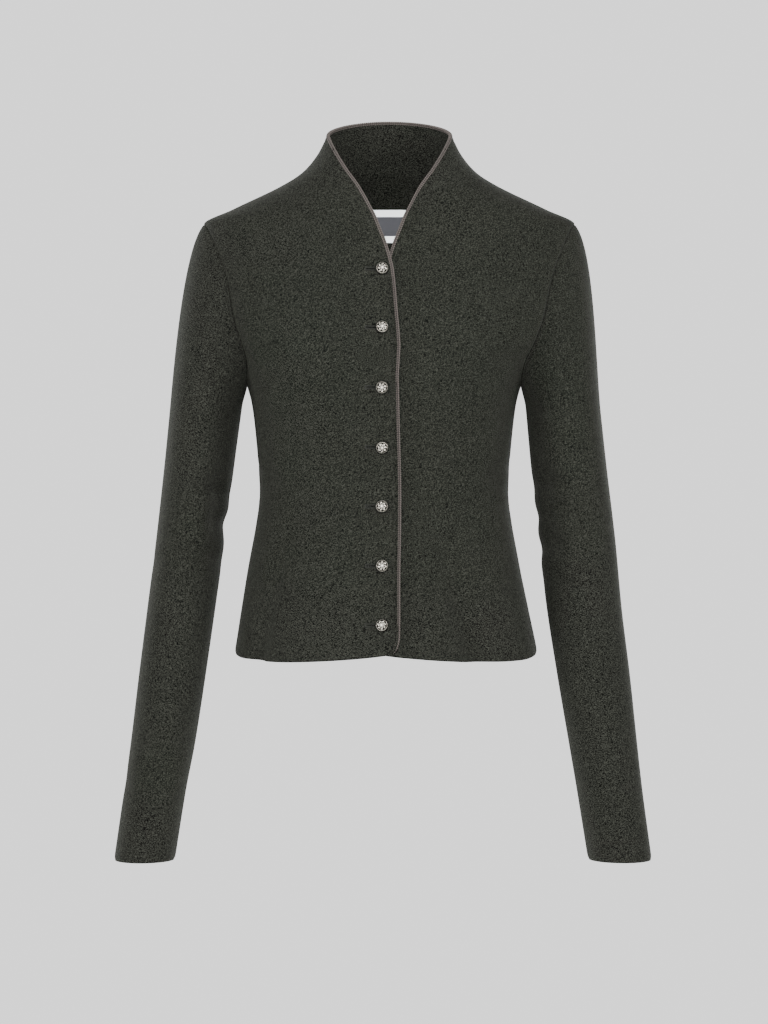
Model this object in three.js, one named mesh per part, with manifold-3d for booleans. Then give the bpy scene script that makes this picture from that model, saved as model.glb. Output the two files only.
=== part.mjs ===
// Knit cardigan, filled out as it hangs on a wearer. Millimetres, +Z up, front towards -Y.
// The origin is the middle of the neck base, level with the side of the neck.
// "right" and "left" are the wearer's: the right front, at -X, laps over the left front.
import * as THREE from 'three';
import { mergeVertices } from 'three/addons/utils/BufferGeometryUtils.js';
import Module from 'manifold-3d';

const wasm = await Module();
wasm.setup();

// ---- driving sizes -------------------------------------------------------------------------
const CLOTH = 2.5;               // thickness of the boiled wool knit
const SEAM_GAP = 0.3;            // pieces stand this far apart along a seam
const SLEEVE_EASE = 0.6;         // the sleeve head starts this far off the armhole's edge
const HEM_SIDE = -488;           // height of the hem at the side seams
const HEM_DIP = 9;               // how much lower the hem hangs between front edge and side seam
const HEM_DIP_BACK = 11;         // the same at the middle of the back
const HEM_ROUND = 0.7;           // exponent of a front's hem: below 1 its dip starts sooner
const UNDERARM = -216;           // lowest point of the armhole
const SHOULDER_TIP = -50;        // highest point of the armhole
const COLLAR_SIDE = 44;          // top of the collar where its side seam ends
const COLLAR_BACK = 63;          // top of the collar at the middle of the back
const COLLAR_ROUND = 0.9;        // exponent of its rise from the side to that middle
const NECK_TURN = 25;            // height where a front's edge turns from the V into the collar top
const ARMHOLE_FRONT = 30;        // degrees by which the armhole is scooped out of a front
const ARMHOLE_BACK = 26;         // and out of the back
const ARMHOLE_ROUND = 0.45;      // exponent of the armhole's oval
const SHOULDER_SOFT = 24;        // the shoulder's turn is rounded over this height, up and down
const SOFT_SAMPLES = [-1, -0.5, 0, 0.5, 1];   // by averaging at these shares of it
const SEAM_SHARP = 6;            // exponent: how close to the shoulder seam it stays unrounded
const FLUTE_GROWTH = 1.3;        // exponent: how a flute deepens from its top to the hem
const SQUARENESS = 0.1;          // how much fuller than an ellipse a body section is
const LAP = 3.6;                 // how far the left front lies under the right front
const LAP_EDGE = 20;             // it lies that deep as far as this from the middle
const LAP_END = 50;              // and comes out to the form here
const BUST = { lift: 8, angle: 38, width: 24, z: -185, height: 62 };
const BINDING = { width: 4, thickness: 3.2, sides: 6 };
const BUTTON = { x: -2, top: -102.4, step: 59.5, count: 7, radius: 6.35, dome: 4.6, rim: 1.1, bevel: 0.4 };
const DOME_SHARES = [0.3, 0.6, 0.85];         // rings of the dome, as shares of its quarter turn
const BUTTON_SIDES = 12;
const SHANK = { radius: 1, stand: 0.9 };
const BUTTONHOLE = { length: 19, height: 2.5, depth: 10, reach: 2.6 };   // reach: past the shank
const LABEL = { width: 35, top: -27, bottom: -61, thickness: 0.8, stand: 0.8, columns: 5, rows: 4 };
const CUFF = -700;               // height of the sleeve ends
const SLEEVE_START = -240;       // the sleeve is a level tube below this height
const WELD = 1e-4;               // points closer than this are one point

// ---- colours -------------------------------------------------------------------------------
const WOOL = { color: 0x33352f, roughness: 0.95, metalness: 0 };
const BRAID = { color: 0x78706c, roughness: 0.85, metalness: 0 };
const PEWTER = { color: 0x8d8b84, roughness: 0.42, metalness: 1 };
const SATIN = { color: 0xe9eeee, roughness: 0.6, metalness: 0 };

// The body's level sections, from hem to collar: middle, half width, depth to front and back.
// Between the underarm and the shoulder the sides lie inside the sleeve heads. "lens" is 1 for an
// oval and more where a section comes to a narrower end, as over the shoulders.
const SECTIONS = [
  { z: -505, middle: 2.0, half: 158.5, front: 109.5, back: 117, lens: 1 },
  { z: -488, middle: 2.0, half: 155.5, front: 108, back: 114, lens: 1 },
  { z: -447, middle: 1.0, half: 148, front: 104.5, back: 106, lens: 1 },
  { z: -398, middle: 0.0, half: 139, front: 99.5, back: 96, lens: 1 },
  { z: -350, middle: 0.0, half: 130.5, front: 96, back: 88, lens: 1 },
  { z: -327, middle: 0.0, half: 128.3, front: 95.5, back: 86, lens: 1 },
  { z: -300, middle: 0.0, half: 129.3, front: 98, back: 86, lens: 1 },
  { z: -262, middle: 0.0, half: 132.5, front: 104, back: 89, lens: 1 },
  { z: -235, middle: 0.0, half: 136, front: 109, back: 92, lens: 1 },
  { z: -216, middle: 0.0, half: 141, front: 112, back: 94, lens: 1 },
  { z: -193, middle: 2.0, half: 150, front: 113.5, back: 96, lens: 1 },
  { z: -178, middle: 4.0, half: 161, front: 113, back: 97, lens: 1 },
  { z: -141, middle: 5.0, half: 182, front: 107, back: 98.5, lens: 1 },
  { z: -106, middle: 5.5, half: 188.5, front: 98, back: 98, lens: 1 },
  { z: -72, middle: 5.5, half: 191, front: 88, back: 93, lens: 1.04 },
  { z: -50, middle: 5.5, half: 191, front: 80.5, back: 88, lens: 1.1 },
  { z: -35, middle: 5.5, half: 162, front: 75.5, back: 84, lens: 1.14 },
  { z: -10, middle: 5.5, half: 110, front: 66, back: 76, lens: 1.1 },
  { z: 2, middle: 5.5, half: 91, front: 61, back: 72, lens: 1.06 },
  { z: 14, middle: 5.5, half: 79.5, front: 54, back: 68.5, lens: 1.02 },
  { z: 27, middle: 5.5, half: 71, front: 43, back: 65, lens: 1 },
  { z: 44, middle: 5.5, half: 63.8, front: 27, back: 61.5, lens: 1 },
  { z: 66, middle: 5.5, half: 58, front: 20, back: 58, lens: 1 },
];

// Where a front's edge runs: its distance from the middle, negative where it has crossed over.
const FRONT_EDGE = [
  { z: -489, reach: -6.7 },
  { z: -482, reach: -11.8 },
  { z: -470, reach: -14.5 },
  { z: -440, reach: -15.6 },
  { z: -330, reach: -17.5 },
  { z: -260, reach: -16 },
  { z: -202, reach: -14.2 },
  { z: -135, reach: -8 },
  { z: -102, reach: -4.5 },
  { z: -88, reach: -1.3 },
  { z: -74, reach: 3 },
  { z: -41, reach: 16.8 },
  { z: -15, reach: 30 },
  { z: 0, reach: 39.5 },
  { z: 17, reach: 50 },
  { z: 33, reach: 58.6 },
  { z: 44, reach: 63.8 },
];

// Flutes of the skirt: troughs (negative depth) and ridges that widen towards the hem.
// Angles are degrees from the middle of their face, positive towards the wearer's left.
const FLUTES = [
  { face: 'front', from: 30, to: 41, top: -290, width: 8, depth: -5.5 },
  { face: 'front', from: 17, to: 23, top: -330, width: 8, depth: 2.2 },
  { face: 'front', from: 52, to: 60, top: -340, width: 9, depth: 2.6 },
  { face: 'front', from: -45, to: -61, top: -335, width: 8, depth: -5 },
  { face: 'front', from: -26, to: -36, top: -350, width: 9, depth: 2.4 },
  { face: 'back', from: 12, to: 15, top: -300, width: 9, depth: -6 },
  { face: 'back', from: -24, to: -31, top: -320, width: 8, depth: -5 },
  { face: 'back', from: -6, to: -8, top: -345, width: 9, depth: 3 },
  { face: 'back', from: 46, to: 57, top: -335, width: 9, depth: -4.5 },
  { face: 'back', from: -55, to: -66, top: -350, width: 8, depth: -3.5 },
];

// Sleeve sections below the underarm: middle, half width and half depth of the level tube.
const SLEEVES = {
  right: [
    { z: -700, x: -244, y: -37, half: 31, deep: 41 },
    { z: -632, x: -234.3, y: -25, half: 31.6, deep: 42 },
    { z: -583, x: -226.6, y: -17, half: 33, deep: 43 },
    { z: -509, x: -217, y: -6, half: 34.4, deep: 45 },
    { z: -447, x: -209, y: 1, half: 35, deep: 47 },
    { z: -373, x: -199.3, y: 5, half: 35.5, deep: 50 },
    { z: -300, x: -190.6, y: 4, half: 36, deep: 53 },
    { z: -240, x: -183.5, y: 2, half: 37, deep: 56 },
  ],
  left: [
    { z: -700, x: 240.5, y: -35, half: 32.5, deep: 41 },
    { z: -632, x: 231, y: -24, half: 33.5, deep: 42 },
    { z: -583, x: 224.5, y: -16, half: 35, deep: 43 },
    { z: -509, x: 214.8, y: -6, half: 37.5, deep: 45 },
    { z: -447, x: 206.5, y: 1, half: 38.6, deep: 47 },
    { z: -373, x: 198.8, y: 5, half: 39.6, deep: 50 },
    { z: -300, x: 190.6, y: 4, half: 39, deep: 53 },
    { z: -240, x: 184.5, y: 2, half: 38.4, deep: 56 },
  ],
};

// Creases at the elbow and forearm. "around" is degrees from the sleeve's outer side, positive
// to the front; a crease drops by "slant" for each degree that it runs on from its middle.
const CREASES = {
  right: [
    { z: -322, around: 128, spread: 46, height: 9, slant: 0.12, depth: -3.6 },
    { z: -352, around: 150, spread: 60, height: 8, slant: 0.1, depth: -3.2 },
    { z: -384, around: 100, spread: 58, height: 8, slant: 0.14, depth: -3.8 },
    { z: -368, around: -150, spread: 40, height: 9, slant: -0.1, depth: -2.6 },
    { z: -610, around: 70, spread: 55, height: 12, slant: 0.16, depth: -1.8 },
  ],
  left: [
    { z: -312, around: 135, spread: 44, height: 9, slant: 0.16, depth: -3.4 },
    { z: -346, around: 110, spread: 50, height: 8, slant: 0.1, depth: -2.6 },
    { z: -378, around: 142, spread: 55, height: 9, slant: 0.13, depth: -3.8 },
    { z: -412, around: 120, spread: 44, height: 9, slant: 0.08, depth: -2.4 },
    { z: -355, around: -145, spread: 44, height: 9, slant: -0.12, depth: -2.8 },
  ],
};

// The sleeve head leaves the armhole and turns down: speeds at its start and its end,
// each as a mean and how much it grows from the underarm (-) to the shoulder (+).
const HEAD = {
  startOut: { mean: 32, grow: 28 },
  startDown: { mean: 45, grow: 21 },
  startForward: 8,
  endOut: { mean: 8.5, grow: 6.5 },
  endDown: { mean: 100, grow: 75 },
};

// The sleeve's wall turns square to the armhole between these angles from the shoulder tip.
const SEAM_SQUARE = { from: 130, to: 80 };

// ---- grid sizes ----------------------------------------------------------------------------
const LOWER_ROWS = [0, 7, 18, 40, 74, 110, 146, 182, 216, 246];   // heights above the side hem
const ARMHOLE_STEPS = 10;
const SHOULDER_STEPS = 7;
const FRONT_COLUMNS = 12;
const BACK_COLUMNS = 18;
const HEAD_STEPS = 6;
const ELBOW = { top: -295, bottom: -425, step: 13 };
const TUBE_STEP = 31;

// ---- small helpers -------------------------------------------------------------------------
const rad = (degrees) => degrees * Math.PI / 180;
const mix = (a, b, t) => a + (b - a) * t;
const bell = (x) => Math.exp(-x * x);
const smooth = (x, from, to) => THREE.MathUtils.smoothstep(x, from, to);
const sideSign = { right: -1, left: 1 };

// Slope of a table's column at one row, level where the values turn round.
function slope(table, column, i) {
  const rise = (a, b) => (b[column] - a[column]) / (b.z - a.z);
  const before = i > 0 ? rise(table[i - 1], table[i]) : null;
  const after = i < table.length - 1 ? rise(table[i], table[i + 1]) : null;
  if (before === null) return after;
  if (after === null) return before;
  return before * after <= 0 ? 0 : 2 * before * after / (before + after);
}

// Reads a table at any height: a cubic curve through its rows, which never overshoots them.
function read(table, column, z) {
  const rows = table[0].z < table[1].z ? table : [...table].reverse();
  let i = rows.findIndex((row) => row.z > z) - 1;
  if (i === -2) i = rows.length - 2;
  i = Math.max(0, i);
  const step = rows[i + 1].z - rows[i].z;
  const t = THREE.MathUtils.clamp((z - rows[i].z) / step, 0, 1);
  const start = slope(rows, column, i) * step;
  const end = slope(rows, column, i + 1) * step;
  return rows[i][column] * (1 + 2 * t) * (1 - t) ** 2 + rows[i + 1][column] * t * t * (3 - 2 * t)
    + start * t * (1 - t) ** 2 - end * t * t * (1 - t);
}

// ---- the form ------------------------------------------------------------------------------
// How far bust and flutes stand out from the plain oval.
function swell(face, angle, z) {
  let out = 0;
  if (face === 'front') {
    out += BUST.lift * bell((Math.abs(angle) - BUST.angle) / BUST.width)
      * bell((z - BUST.z) / BUST.height);
  }
  for (const flute of FLUTES) {
    if (flute.face !== face || z > flute.top) continue;
    const t = (flute.top - z) / (flute.top - HEM_SIDE);
    const off = (angle - mix(flute.from, flute.to, t)) / flute.width;
    out += flute.depth * Math.min(t, 1) ** FLUTE_GROWTH * bell(off);
  }
  return out;
}

// The half width, with the turn of the shoulder rounded off away from the shoulder seam itself.
function halfWidth(a, z) {
  const around = SOFT_SAMPLES.map((share) => read(SECTIONS, 'half', z + share * SHOULDER_SOFT));
  const round = around.reduce((sum, half) => sum + half) / around.length;
  return mix(round, read(SECTIONS, 'half', z), Math.sin(a) ** SEAM_SHARP);
}

// A point of the form. The angle is 0 at the middle of the face and 90 at the wearer's left.
function oval(face, angle, z, lift = 0) {
  const a = rad(angle);
  const out = swell(face, angle, z) + lift;
  const fuller = 1 + SQUARENESS * Math.sin(a) ** 2;
  const narrowed = Math.sign(Math.cos(a)) * Math.abs(Math.cos(a)) ** read(SECTIONS, 'lens', z);
  const depth = (read(SECTIONS, face, z) * fuller + out) * narrowed;
  return new THREE.Vector3(
    read(SECTIONS, 'middle', z) + (halfWidth(a, z) + out) * Math.sin(a),
    face === 'front' ? -depth : depth,
    z,
  );
}

// The outward normal of the form, from two short chords.
function ovalNormal(face, angle, z) {
  const across = oval(face, angle + 0.5, z).sub(oval(face, angle - 0.5, z));
  const up = oval(face, angle, z + 0.5).sub(oval(face, angle, z - 0.5));
  const normal = across.cross(up).normalize();
  return face === 'front' ? normal : normal.negate();
}

// The armhole is an oval scooped out of front and back between underarm and shoulder tip.
function armholeAngle(face, z) {
  const t = THREE.MathUtils.clamp((z - UNDERARM) / (SHOULDER_TIP - UNDERARM), 0, 1);
  const scoop = face === 'front' ? ARMHOLE_FRONT : ARMHOLE_BACK;
  return 90 - scoop * Math.sin(Math.PI * t) ** ARMHOLE_ROUND;
}

const armholeHeight = (around) => mix(UNDERARM, SHOULDER_TIP, (1 + Math.cos(rad(around))) / 2);

function edgeAngle(z) {
  const share = read(FRONT_EDGE, 'reach', z) / read(SECTIONS, 'half', z);
  return THREE.MathUtils.radToDeg(Math.asin(THREE.MathUtils.clamp(share, -1, 1)));
}

// Rows of a panel's side: hem, armhole (at the sleeve's own points), shoulder and collar.
function sideHeights() {
  const rows = LOWER_ROWS.map((rise) => HEM_SIDE + rise);
  for (let i = 0; i <= ARMHOLE_STEPS; i += 1) rows.push(armholeHeight(180 - 180 * i / ARMHOLE_STEPS));
  for (let i = 1; i <= SHOULDER_STEPS; i += 1) {
    rows.push(mix(SHOULDER_TIP, COLLAR_SIDE, i / SHOULDER_STEPS));
  }
  return rows;
}

// ---- panels --------------------------------------------------------------------------------
// A Coons patch: every point of the panel is blended from its four edges.
function patch(edges, u, v) {
  const { left, right, bottom, top } = edges;
  const blend = (key) => mix(left(v)[key], right(v)[key], u) + mix(bottom(u)[key], top(u)[key], v)
    - mix(mix(bottom(0)[key], bottom(1)[key], u), mix(top(0)[key], top(1)[key], u), v);
  return { angle: blend('angle'), z: blend('z') };
}

// A grid of points on a face, with the outward normal at each. The angle is mirrored by "sign".
function layPanel(face, sign, edges, rowShares, columns, lift) {
  const points = [];
  const normals = [];
  for (const v of rowShares) {
    const pointRow = [];
    const normalRow = [];
    for (let j = 0; j <= columns; j += 1) {
      const spot = patch(edges, j / columns, v);
      const normal = ovalNormal(face, sign * spot.angle, spot.z);
      const point = oval(face, sign * spot.angle, spot.z);
      pointRow.push(point.addScaledVector(normal, lift(point.x)));
      normalRow.push(normal);
    }
    points.push(pointRow);
    normals.push(normalRow);
  }
  return { points, normals };
}

const HEIGHTS = sideHeights();
const heightAt = (v) => mix(HEM_SIDE, COLLAR_SIDE, v);
const ROW_SHARES = HEIGHTS.map((z) => (z - HEM_SIDE) / (COLLAR_SIDE - HEM_SIDE));

// The height of a front's edge beside a side height: the same, but squeezed above the shoulder.
function edgeHeight(z) {
  if (z <= SHOULDER_TIP) return z;
  return mix(SHOULDER_TIP, NECK_TURN, (z - SHOULDER_TIP) / (COLLAR_SIDE - SHOULDER_TIP));
}

function frontEdges() {
  const hemAngle = edgeAngle(HEM_SIDE);
  return {
    left: (v) => ({ angle: edgeAngle(edgeHeight(heightAt(v))), z: edgeHeight(heightAt(v)) }),
    right: (v) => ({ angle: armholeAngle('front', heightAt(v)), z: heightAt(v) }),
    bottom: (u) => ({
      angle: mix(hemAngle, 90, u),
      z: HEM_SIDE - HEM_DIP * Math.sin(Math.PI * u) ** HEM_ROUND,
    }),
    top: (u) => {
      const z = mix(NECK_TURN, COLLAR_SIDE, u);
      return { angle: edgeAngle(z), z };
    },
  };
}

function backEdges() {
  const side = (sign) => (v) => ({ angle: sign * armholeAngle('back', heightAt(v)), z: heightAt(v) });
  const level = (z, rise, power) => (u) => ({
    angle: mix(-90, 90, u),
    z: z + rise * Math.sin(Math.PI * u) ** power,
  });
  return {
    left: side(-1),
    right: side(1),
    bottom: level(HEM_SIDE, -HEM_DIP_BACK, 1),
    top: level(COLLAR_SIDE, COLLAR_BACK - COLLAR_SIDE, COLLAR_ROUND),
  };
}

// The left front dips under the right front.
const lapLift = (x) => -LAP * (1 - smooth(Math.abs(x), LAP_EDGE, LAP_END));

// Moves one edge of a grid inwards over its surface.
function inset(grid, spots, amount) {
  const moved = spots.map(([k, j], i) => {
    const at = (n) => grid.points[spots[n][0]][spots[n][1]];
    const along = at(Math.min(i + 1, spots.length - 1)).clone().sub(at(Math.max(i - 1, 0)));
    const inward = along.cross(grid.normals[k][j]).normalize();
    const middle = grid.points[Math.floor(grid.points.length / 2)][Math.floor(grid.points[0].length / 2)];
    if (inward.dot(middle.clone().sub(at(i))) < 0) inward.negate();
    return { k, j, step: inward.multiplyScalar(amount) };
  });
  for (const { k, j, step } of moved) grid.points[k][j].add(step);
}

const rowSpots = (grid, k) => grid.points[k].map((_, j) => [k, j]);
const columnSpots = (grid, j) => grid.points.map((_, k) => [k, j]);

// ---- solids --------------------------------------------------------------------------------
// A closed wall from a grid of outer points and their normals. "tube" joins the last column
// to the first.
function wallGeometry(grid, thickness, tube) {
  const rows = grid.points.length;
  const columns = grid.points[0].length;
  const inner = grid.points.map((row, k) => row.map((point, j) => point.clone()
    .addScaledVector(grid.normals[k][j], -thickness)));
  const vertices = [...grid.points.flat(), ...inner.flat()].flatMap((p) => [p.x, p.y, p.z]);
  const faces = [];
  const quad = (a, b, c, d) => faces.push(a, b, c, a, c, d);
  const at = (layer, k, j) => layer * rows * columns + k * columns + (j % columns);
  const spans = tube ? columns : columns - 1;
  for (let k = 0; k < rows - 1; k += 1) {
    for (let j = 0; j < spans; j += 1) {
      quad(at(0, k, j), at(0, k, j + 1), at(0, k + 1, j + 1), at(0, k + 1, j));
      quad(at(1, k, j), at(1, k + 1, j), at(1, k + 1, j + 1), at(1, k, j + 1));
    }
  }
  for (let j = 0; j < spans; j += 1) {
    quad(at(0, 0, j), at(1, 0, j), at(1, 0, j + 1), at(0, 0, j + 1));
    quad(at(0, rows - 1, j), at(0, rows - 1, j + 1), at(1, rows - 1, j + 1), at(1, rows - 1, j));
  }
  if (!tube) {
    const last = columns - 1;
    for (let k = 0; k < rows - 1; k += 1) {
      quad(at(0, k, 0), at(0, k + 1, 0), at(1, k + 1, 0), at(1, k, 0));
      quad(at(0, k, last), at(1, k, last), at(1, k + 1, last), at(0, k + 1, last));
    }
  }
  return bodyGeometry(vertices, faces);
}

// An indexed body whose faces point outwards, whichever way they were listed.
function bodyGeometry(vertices, faces) {
  let volume = 0;
  const corner = (i) => new THREE.Vector3().fromArray(vertices, 3 * faces[i]);
  for (let i = 0; i < faces.length; i += 3) {
    volume += corner(i).dot(corner(i + 1).cross(corner(i + 2)));
  }
  const listed = volume > 0 ? faces : faces.slice().reverse();
  const geometry = new THREE.BufferGeometry();
  geometry.setAttribute('position', new THREE.Float32BufferAttribute(vertices, 3));
  geometry.setIndex(listed);
  return geometry;
}

function addMesh(group, name, geometry, finish) {
  const mesh = new THREE.Mesh(geometry, new THREE.MeshStandardMaterial(finish));
  mesh.name = name;
  group.add(mesh);
  return mesh;
}

function toManifold(geometry) {
  const bare = geometry.clone();
  for (const name of ['normal', 'uv']) bare.deleteAttribute(name);
  const merged = mergeVertices(bare, WELD);
  return new wasm.Manifold(new wasm.Mesh({
    numProp: 3,
    vertProperties: Float32Array.from(merged.attributes.position.array),
    triVerts: Uint32Array.from(merged.index.array),
  }));
}

// The geometry of a cut body, its faces listed from the hem up.
function fromManifold(solid) {
  const { vertProperties, triVerts, numTri } = solid.getMesh();
  const corners = (face) => Array.from(triVerts.slice(3 * face, 3 * face + 3));
  const middle = (face) => corners(face).reduce((sum, i) => sum + vertProperties[3 * i + 2], 0) / 3;
  const faces = Array.from({ length: numTri }, (_, face) => face).sort((a, b) => middle(a) - middle(b));
  const geometry = new THREE.BufferGeometry();
  geometry.setAttribute('position', new THREE.Float32BufferAttribute(vertProperties, 3));
  geometry.setIndex(faces.flatMap(corners));
  return geometry;
}

// ---- fronts and back -----------------------------------------------------------------------
function layFront(side) {
  const lift = side === 'left' ? lapLift : () => 0;
  return layPanel('front', sideSign[side], frontEdges(), ROW_SHARES, FRONT_COLUMNS, lift);
}

// The bound edge of a front, from the hem up the V and round to the collar's side seam.
function boundSpots(grid) {
  const top = grid.points.length - 1;
  return [...columnSpots(grid, 0), ...rowSpots(grid, top).slice(1)];
}

const buttonHeights = Array.from({ length: BUTTON.count }, (_, i) => BUTTON.top - i * BUTTON.step);

// The spot of the right front at a distance x from the middle plane.
function spotAt(x, z) {
  const sine = (x - read(SECTIONS, 'middle', z)) / read(SECTIONS, 'half', z);
  const angle = THREE.MathUtils.radToDeg(Math.asin(sine));
  return { point: oval('front', angle, z), normal: ovalNormal('front', angle, z) };
}

// Turns an object so that its own +Z follows a normal, with its X kept level.
function faceAlong(object, normal) {
  const across = new THREE.Vector3(0, 0, 1).cross(normal).normalize();
  const upward = normal.clone().cross(across);
  object.quaternion.setFromRotationMatrix(new THREE.Matrix4().makeBasis(across, upward, normal));
}

function cutButtonholes(geometry) {
  const { length, height, depth, reach } = BUTTONHOLE;
  let cloth = toManifold(geometry);
  for (const z of buttonHeights) {
    const { point, normal } = spotAt(BUTTON.x + reach - length / 2, z);
    const cutter = new THREE.Mesh(new THREE.BoxGeometry(length, height, depth));
    cutter.position.copy(point);
    faceAlong(cutter, normal);
    cutter.updateMatrix();
    cloth = cloth.subtract(toManifold(cutter.geometry.applyMatrix4(cutter.matrix)));
  }
  return fromManifold(cloth);
}

// ---- sleeves -------------------------------------------------------------------------------
function armholePoint(side, around) {
  const face = around >= 0 ? 'front' : 'back';
  const z = armholeHeight(around);
  const angle = sideSign[side] * armholeAngle(face, z);
  return { point: oval(face, angle, z), normal: ovalNormal(face, angle, z) };
}

function creaseDepth(side, around, z) {
  let out = 0;
  for (const crease of CREASES[side]) {
    const off = ((around - crease.around + 540) % 360) - 180;
    const height = z - crease.z + crease.slant * Math.abs(off);
    out += crease.depth * bell(off / crease.spread) * bell(height / crease.height);
  }
  return out;
}

function tubePoint(side, around, z) {
  const a = rad(around);
  const table = SLEEVES[side];
  const out = creaseDepth(side, around, z);
  return new THREE.Vector3(
    read(table, 'x', z) + sideSign[side] * (read(table, 'half', z) + out) * Math.cos(a),
    read(table, 'y', z) - (read(table, 'deep', z) + out) * Math.sin(a),
    z,
  );
}

// The sleeve head: a Hermite curve from the armhole out and down to the level tube.
function headPoint(side, around, t) {
  const cos = Math.cos(rad(around));
  const speed = ({ mean, grow }) => mean + grow * cos;
  const sign = sideSign[side];
  const start = new THREE.Vector3(
    sign * speed(HEAD.startOut),
    -HEAD.startForward * Math.sin(rad(around)),
    -speed(HEAD.startDown),
  );
  const end = new THREE.Vector3(sign * speed(HEAD.endOut), 0, -speed(HEAD.endDown));
  return new THREE.Vector3()
    .addScaledVector(armholePoint(side, around).point, (1 + 2 * t) * (1 - t) ** 2)
    .addScaledVector(tubePoint(side, around, SLEEVE_START), t * t * (3 - 2 * t))
    .addScaledVector(start, t * (1 - t) ** 2)
    .addScaledVector(end, -t * t * (1 - t));
}

// Heights of the level rings: close together at the elbow, where the creases are.
function tubeHeights() {
  const rows = [];
  for (let z = SLEEVE_START; z > ELBOW.top; z -= TUBE_STEP) rows.push(z);
  for (let z = ELBOW.top; z > ELBOW.bottom; z -= ELBOW.step) rows.push(z);
  const below = Math.round((ELBOW.bottom - CUFF) / TUBE_STEP);
  for (let i = 0; i <= below; i += 1) rows.push(mix(ELBOW.bottom, CUFF, i / below));
  return rows;
}

// Normals of a tube's grid, from the neighbours of each point.
function tubeNormals(points, outwards) {
  const columns = points[0].length;
  return points.map((row, k) => row.map((_, j) => {
    const across = row[(j + 1) % columns].clone().sub(row[(j + columns - 1) % columns]);
    const above = points[Math.max(k - 1, 0)][j];
    const below = points[Math.min(k + 1, points.length - 1)][j];
    return across.cross(below.clone().sub(above)).normalize().multiplyScalar(outwards);
  }));
}

// Over the shoulder the sleeve's wall starts square to the armhole's edge, so the seam closes.
function laySleeve(side) {
  const steps = 2 * ARMHOLE_STEPS;
  const arounds = Array.from({ length: steps }, (_, i) => 360 * i / steps)
    .map((around) => (around > 180 ? around - 360 : around));
  const points = [];
  for (let k = 0; k < HEAD_STEPS; k += 1) {
    points.push(arounds.map((around) => headPoint(side, around, k / HEAD_STEPS)));
  }
  for (const z of tubeHeights()) points.push(arounds.map((around) => tubePoint(side, around, z)));
  const normals = tubeNormals(points, sideSign[side]);
  arounds.forEach((around, j) => {
    const outward = points[1][j].clone().sub(points[0][j]).normalize();
    points[0][j].addScaledVector(outward, SLEEVE_EASE);
    const square = smooth(-Math.abs(around), -SEAM_SQUARE.from, -SEAM_SQUARE.to);
    normals[0][j].lerp(armholePoint(side, around).normal, square).normalize();
  });
  return { points, normals };
}

// ---- binding, label and buttons ------------------------------------------------------------
// The stations of an edge that is to be bound: each a point on it and the cloth's normal there.
function boundEdge(grid, spots) {
  return spots.map(([k, j]) => ({ point: grid.points[k][j].clone(), normal: grid.normals[k][j] }));
}

// One braid, swept along the stations: its section is an oval, its outer side is the edge.
function bindingGeometry(stations) {
  const vertices = [];
  const faces = [];
  const { sides, width, thickness } = BINDING;
  for (const { point, normal, inward } of stations) {
    const middle = point.clone().addScaledVector(inward, width / 2)
      .addScaledVector(normal, -CLOTH / 2);
    for (let i = 0; i < sides; i += 1) {
      const a = 2 * Math.PI * (i + 0.5) / sides;
      const corner = middle.clone().addScaledVector(inward, Math.cos(a) * width / 2)
        .addScaledVector(normal, Math.sin(a) * thickness / 2);
      vertices.push(corner.x, corner.y, corner.z);
    }
  }
  const last = sides * (stations.length - 1);
  for (let k = 0; k < stations.length - 1; k += 1) {
    for (let i = 0; i < sides; i += 1) {
      const a = k * sides + i;
      const b = k * sides + (i + 1) % sides;
      faces.push(a, b, b + sides, a, b + sides, a + sides);
    }
  }
  for (let i = 1; i < sides - 1; i += 1) {
    faces.push(0, i + 1, i, last, last + i, last + i + 1);
  }
  return bodyGeometry(vertices, faces);
}

function labelGeometry() {
  const points = [];
  const normals = [];
  for (let k = 0; k <= LABEL.rows; k += 1) {
    const z = mix(LABEL.bottom, LABEL.top, k / LABEL.rows);
    const half = LABEL.width / 2 / read(SECTIONS, 'half', z);
    const spots = Array.from({ length: LABEL.columns + 1 }, (_, j) => mix(-1, 1, j / LABEL.columns))
      .map((across) => THREE.MathUtils.radToDeg(Math.asin(across * half)));
    normals.push(spots.map((angle) => ovalNormal('back', angle, z)));
    points.push(spots.map((angle) => oval('back', angle, z)
      .addScaledVector(ovalNormal('back', angle, z), -CLOTH - LABEL.stand)));
  }
  return wallGeometry({ points, normals }, LABEL.thickness, false);
}

// A domed shank button on its axis, from the shank's foot up to the dome's top.
function buttonGeometry() {
  const foot = -(SHANK.stand + LAP - SEAM_GAP);
  const dome = (t) => new THREE.Vector2(
    BUTTON.radius * Math.cos(rad(90 * t)),
    BUTTON.rim + BUTTON.dome * Math.sin(rad(90 * t)),
  );
  const profile = [
    new THREE.Vector2(0, foot),
    new THREE.Vector2(SHANK.radius, foot),
    new THREE.Vector2(SHANK.radius, 0),
    new THREE.Vector2(BUTTON.radius - BUTTON.bevel, 0),
    new THREE.Vector2(BUTTON.radius, BUTTON.rim),
    ...DOME_SHARES.map(dome),
    new THREE.Vector2(0, BUTTON.rim + BUTTON.dome),
  ];
  const geometry = new THREE.LatheGeometry(profile, BUTTON_SIDES);
  geometry.rotateX(Math.PI / 2);
  return geometry;
}

// ---- assembly ------------------------------------------------------------------------------
const cardigan = new THREE.Group();
cardigan.name = 'cardigan';

const fronts = { right: layFront('right'), left: layFront('left') };
const back = layPanel('back', 1, backEdges(), ROW_SHARES, BACK_COLUMNS, () => 0);
const topSpots = rowSpots(back, HEIGHTS.length - 1);

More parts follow.
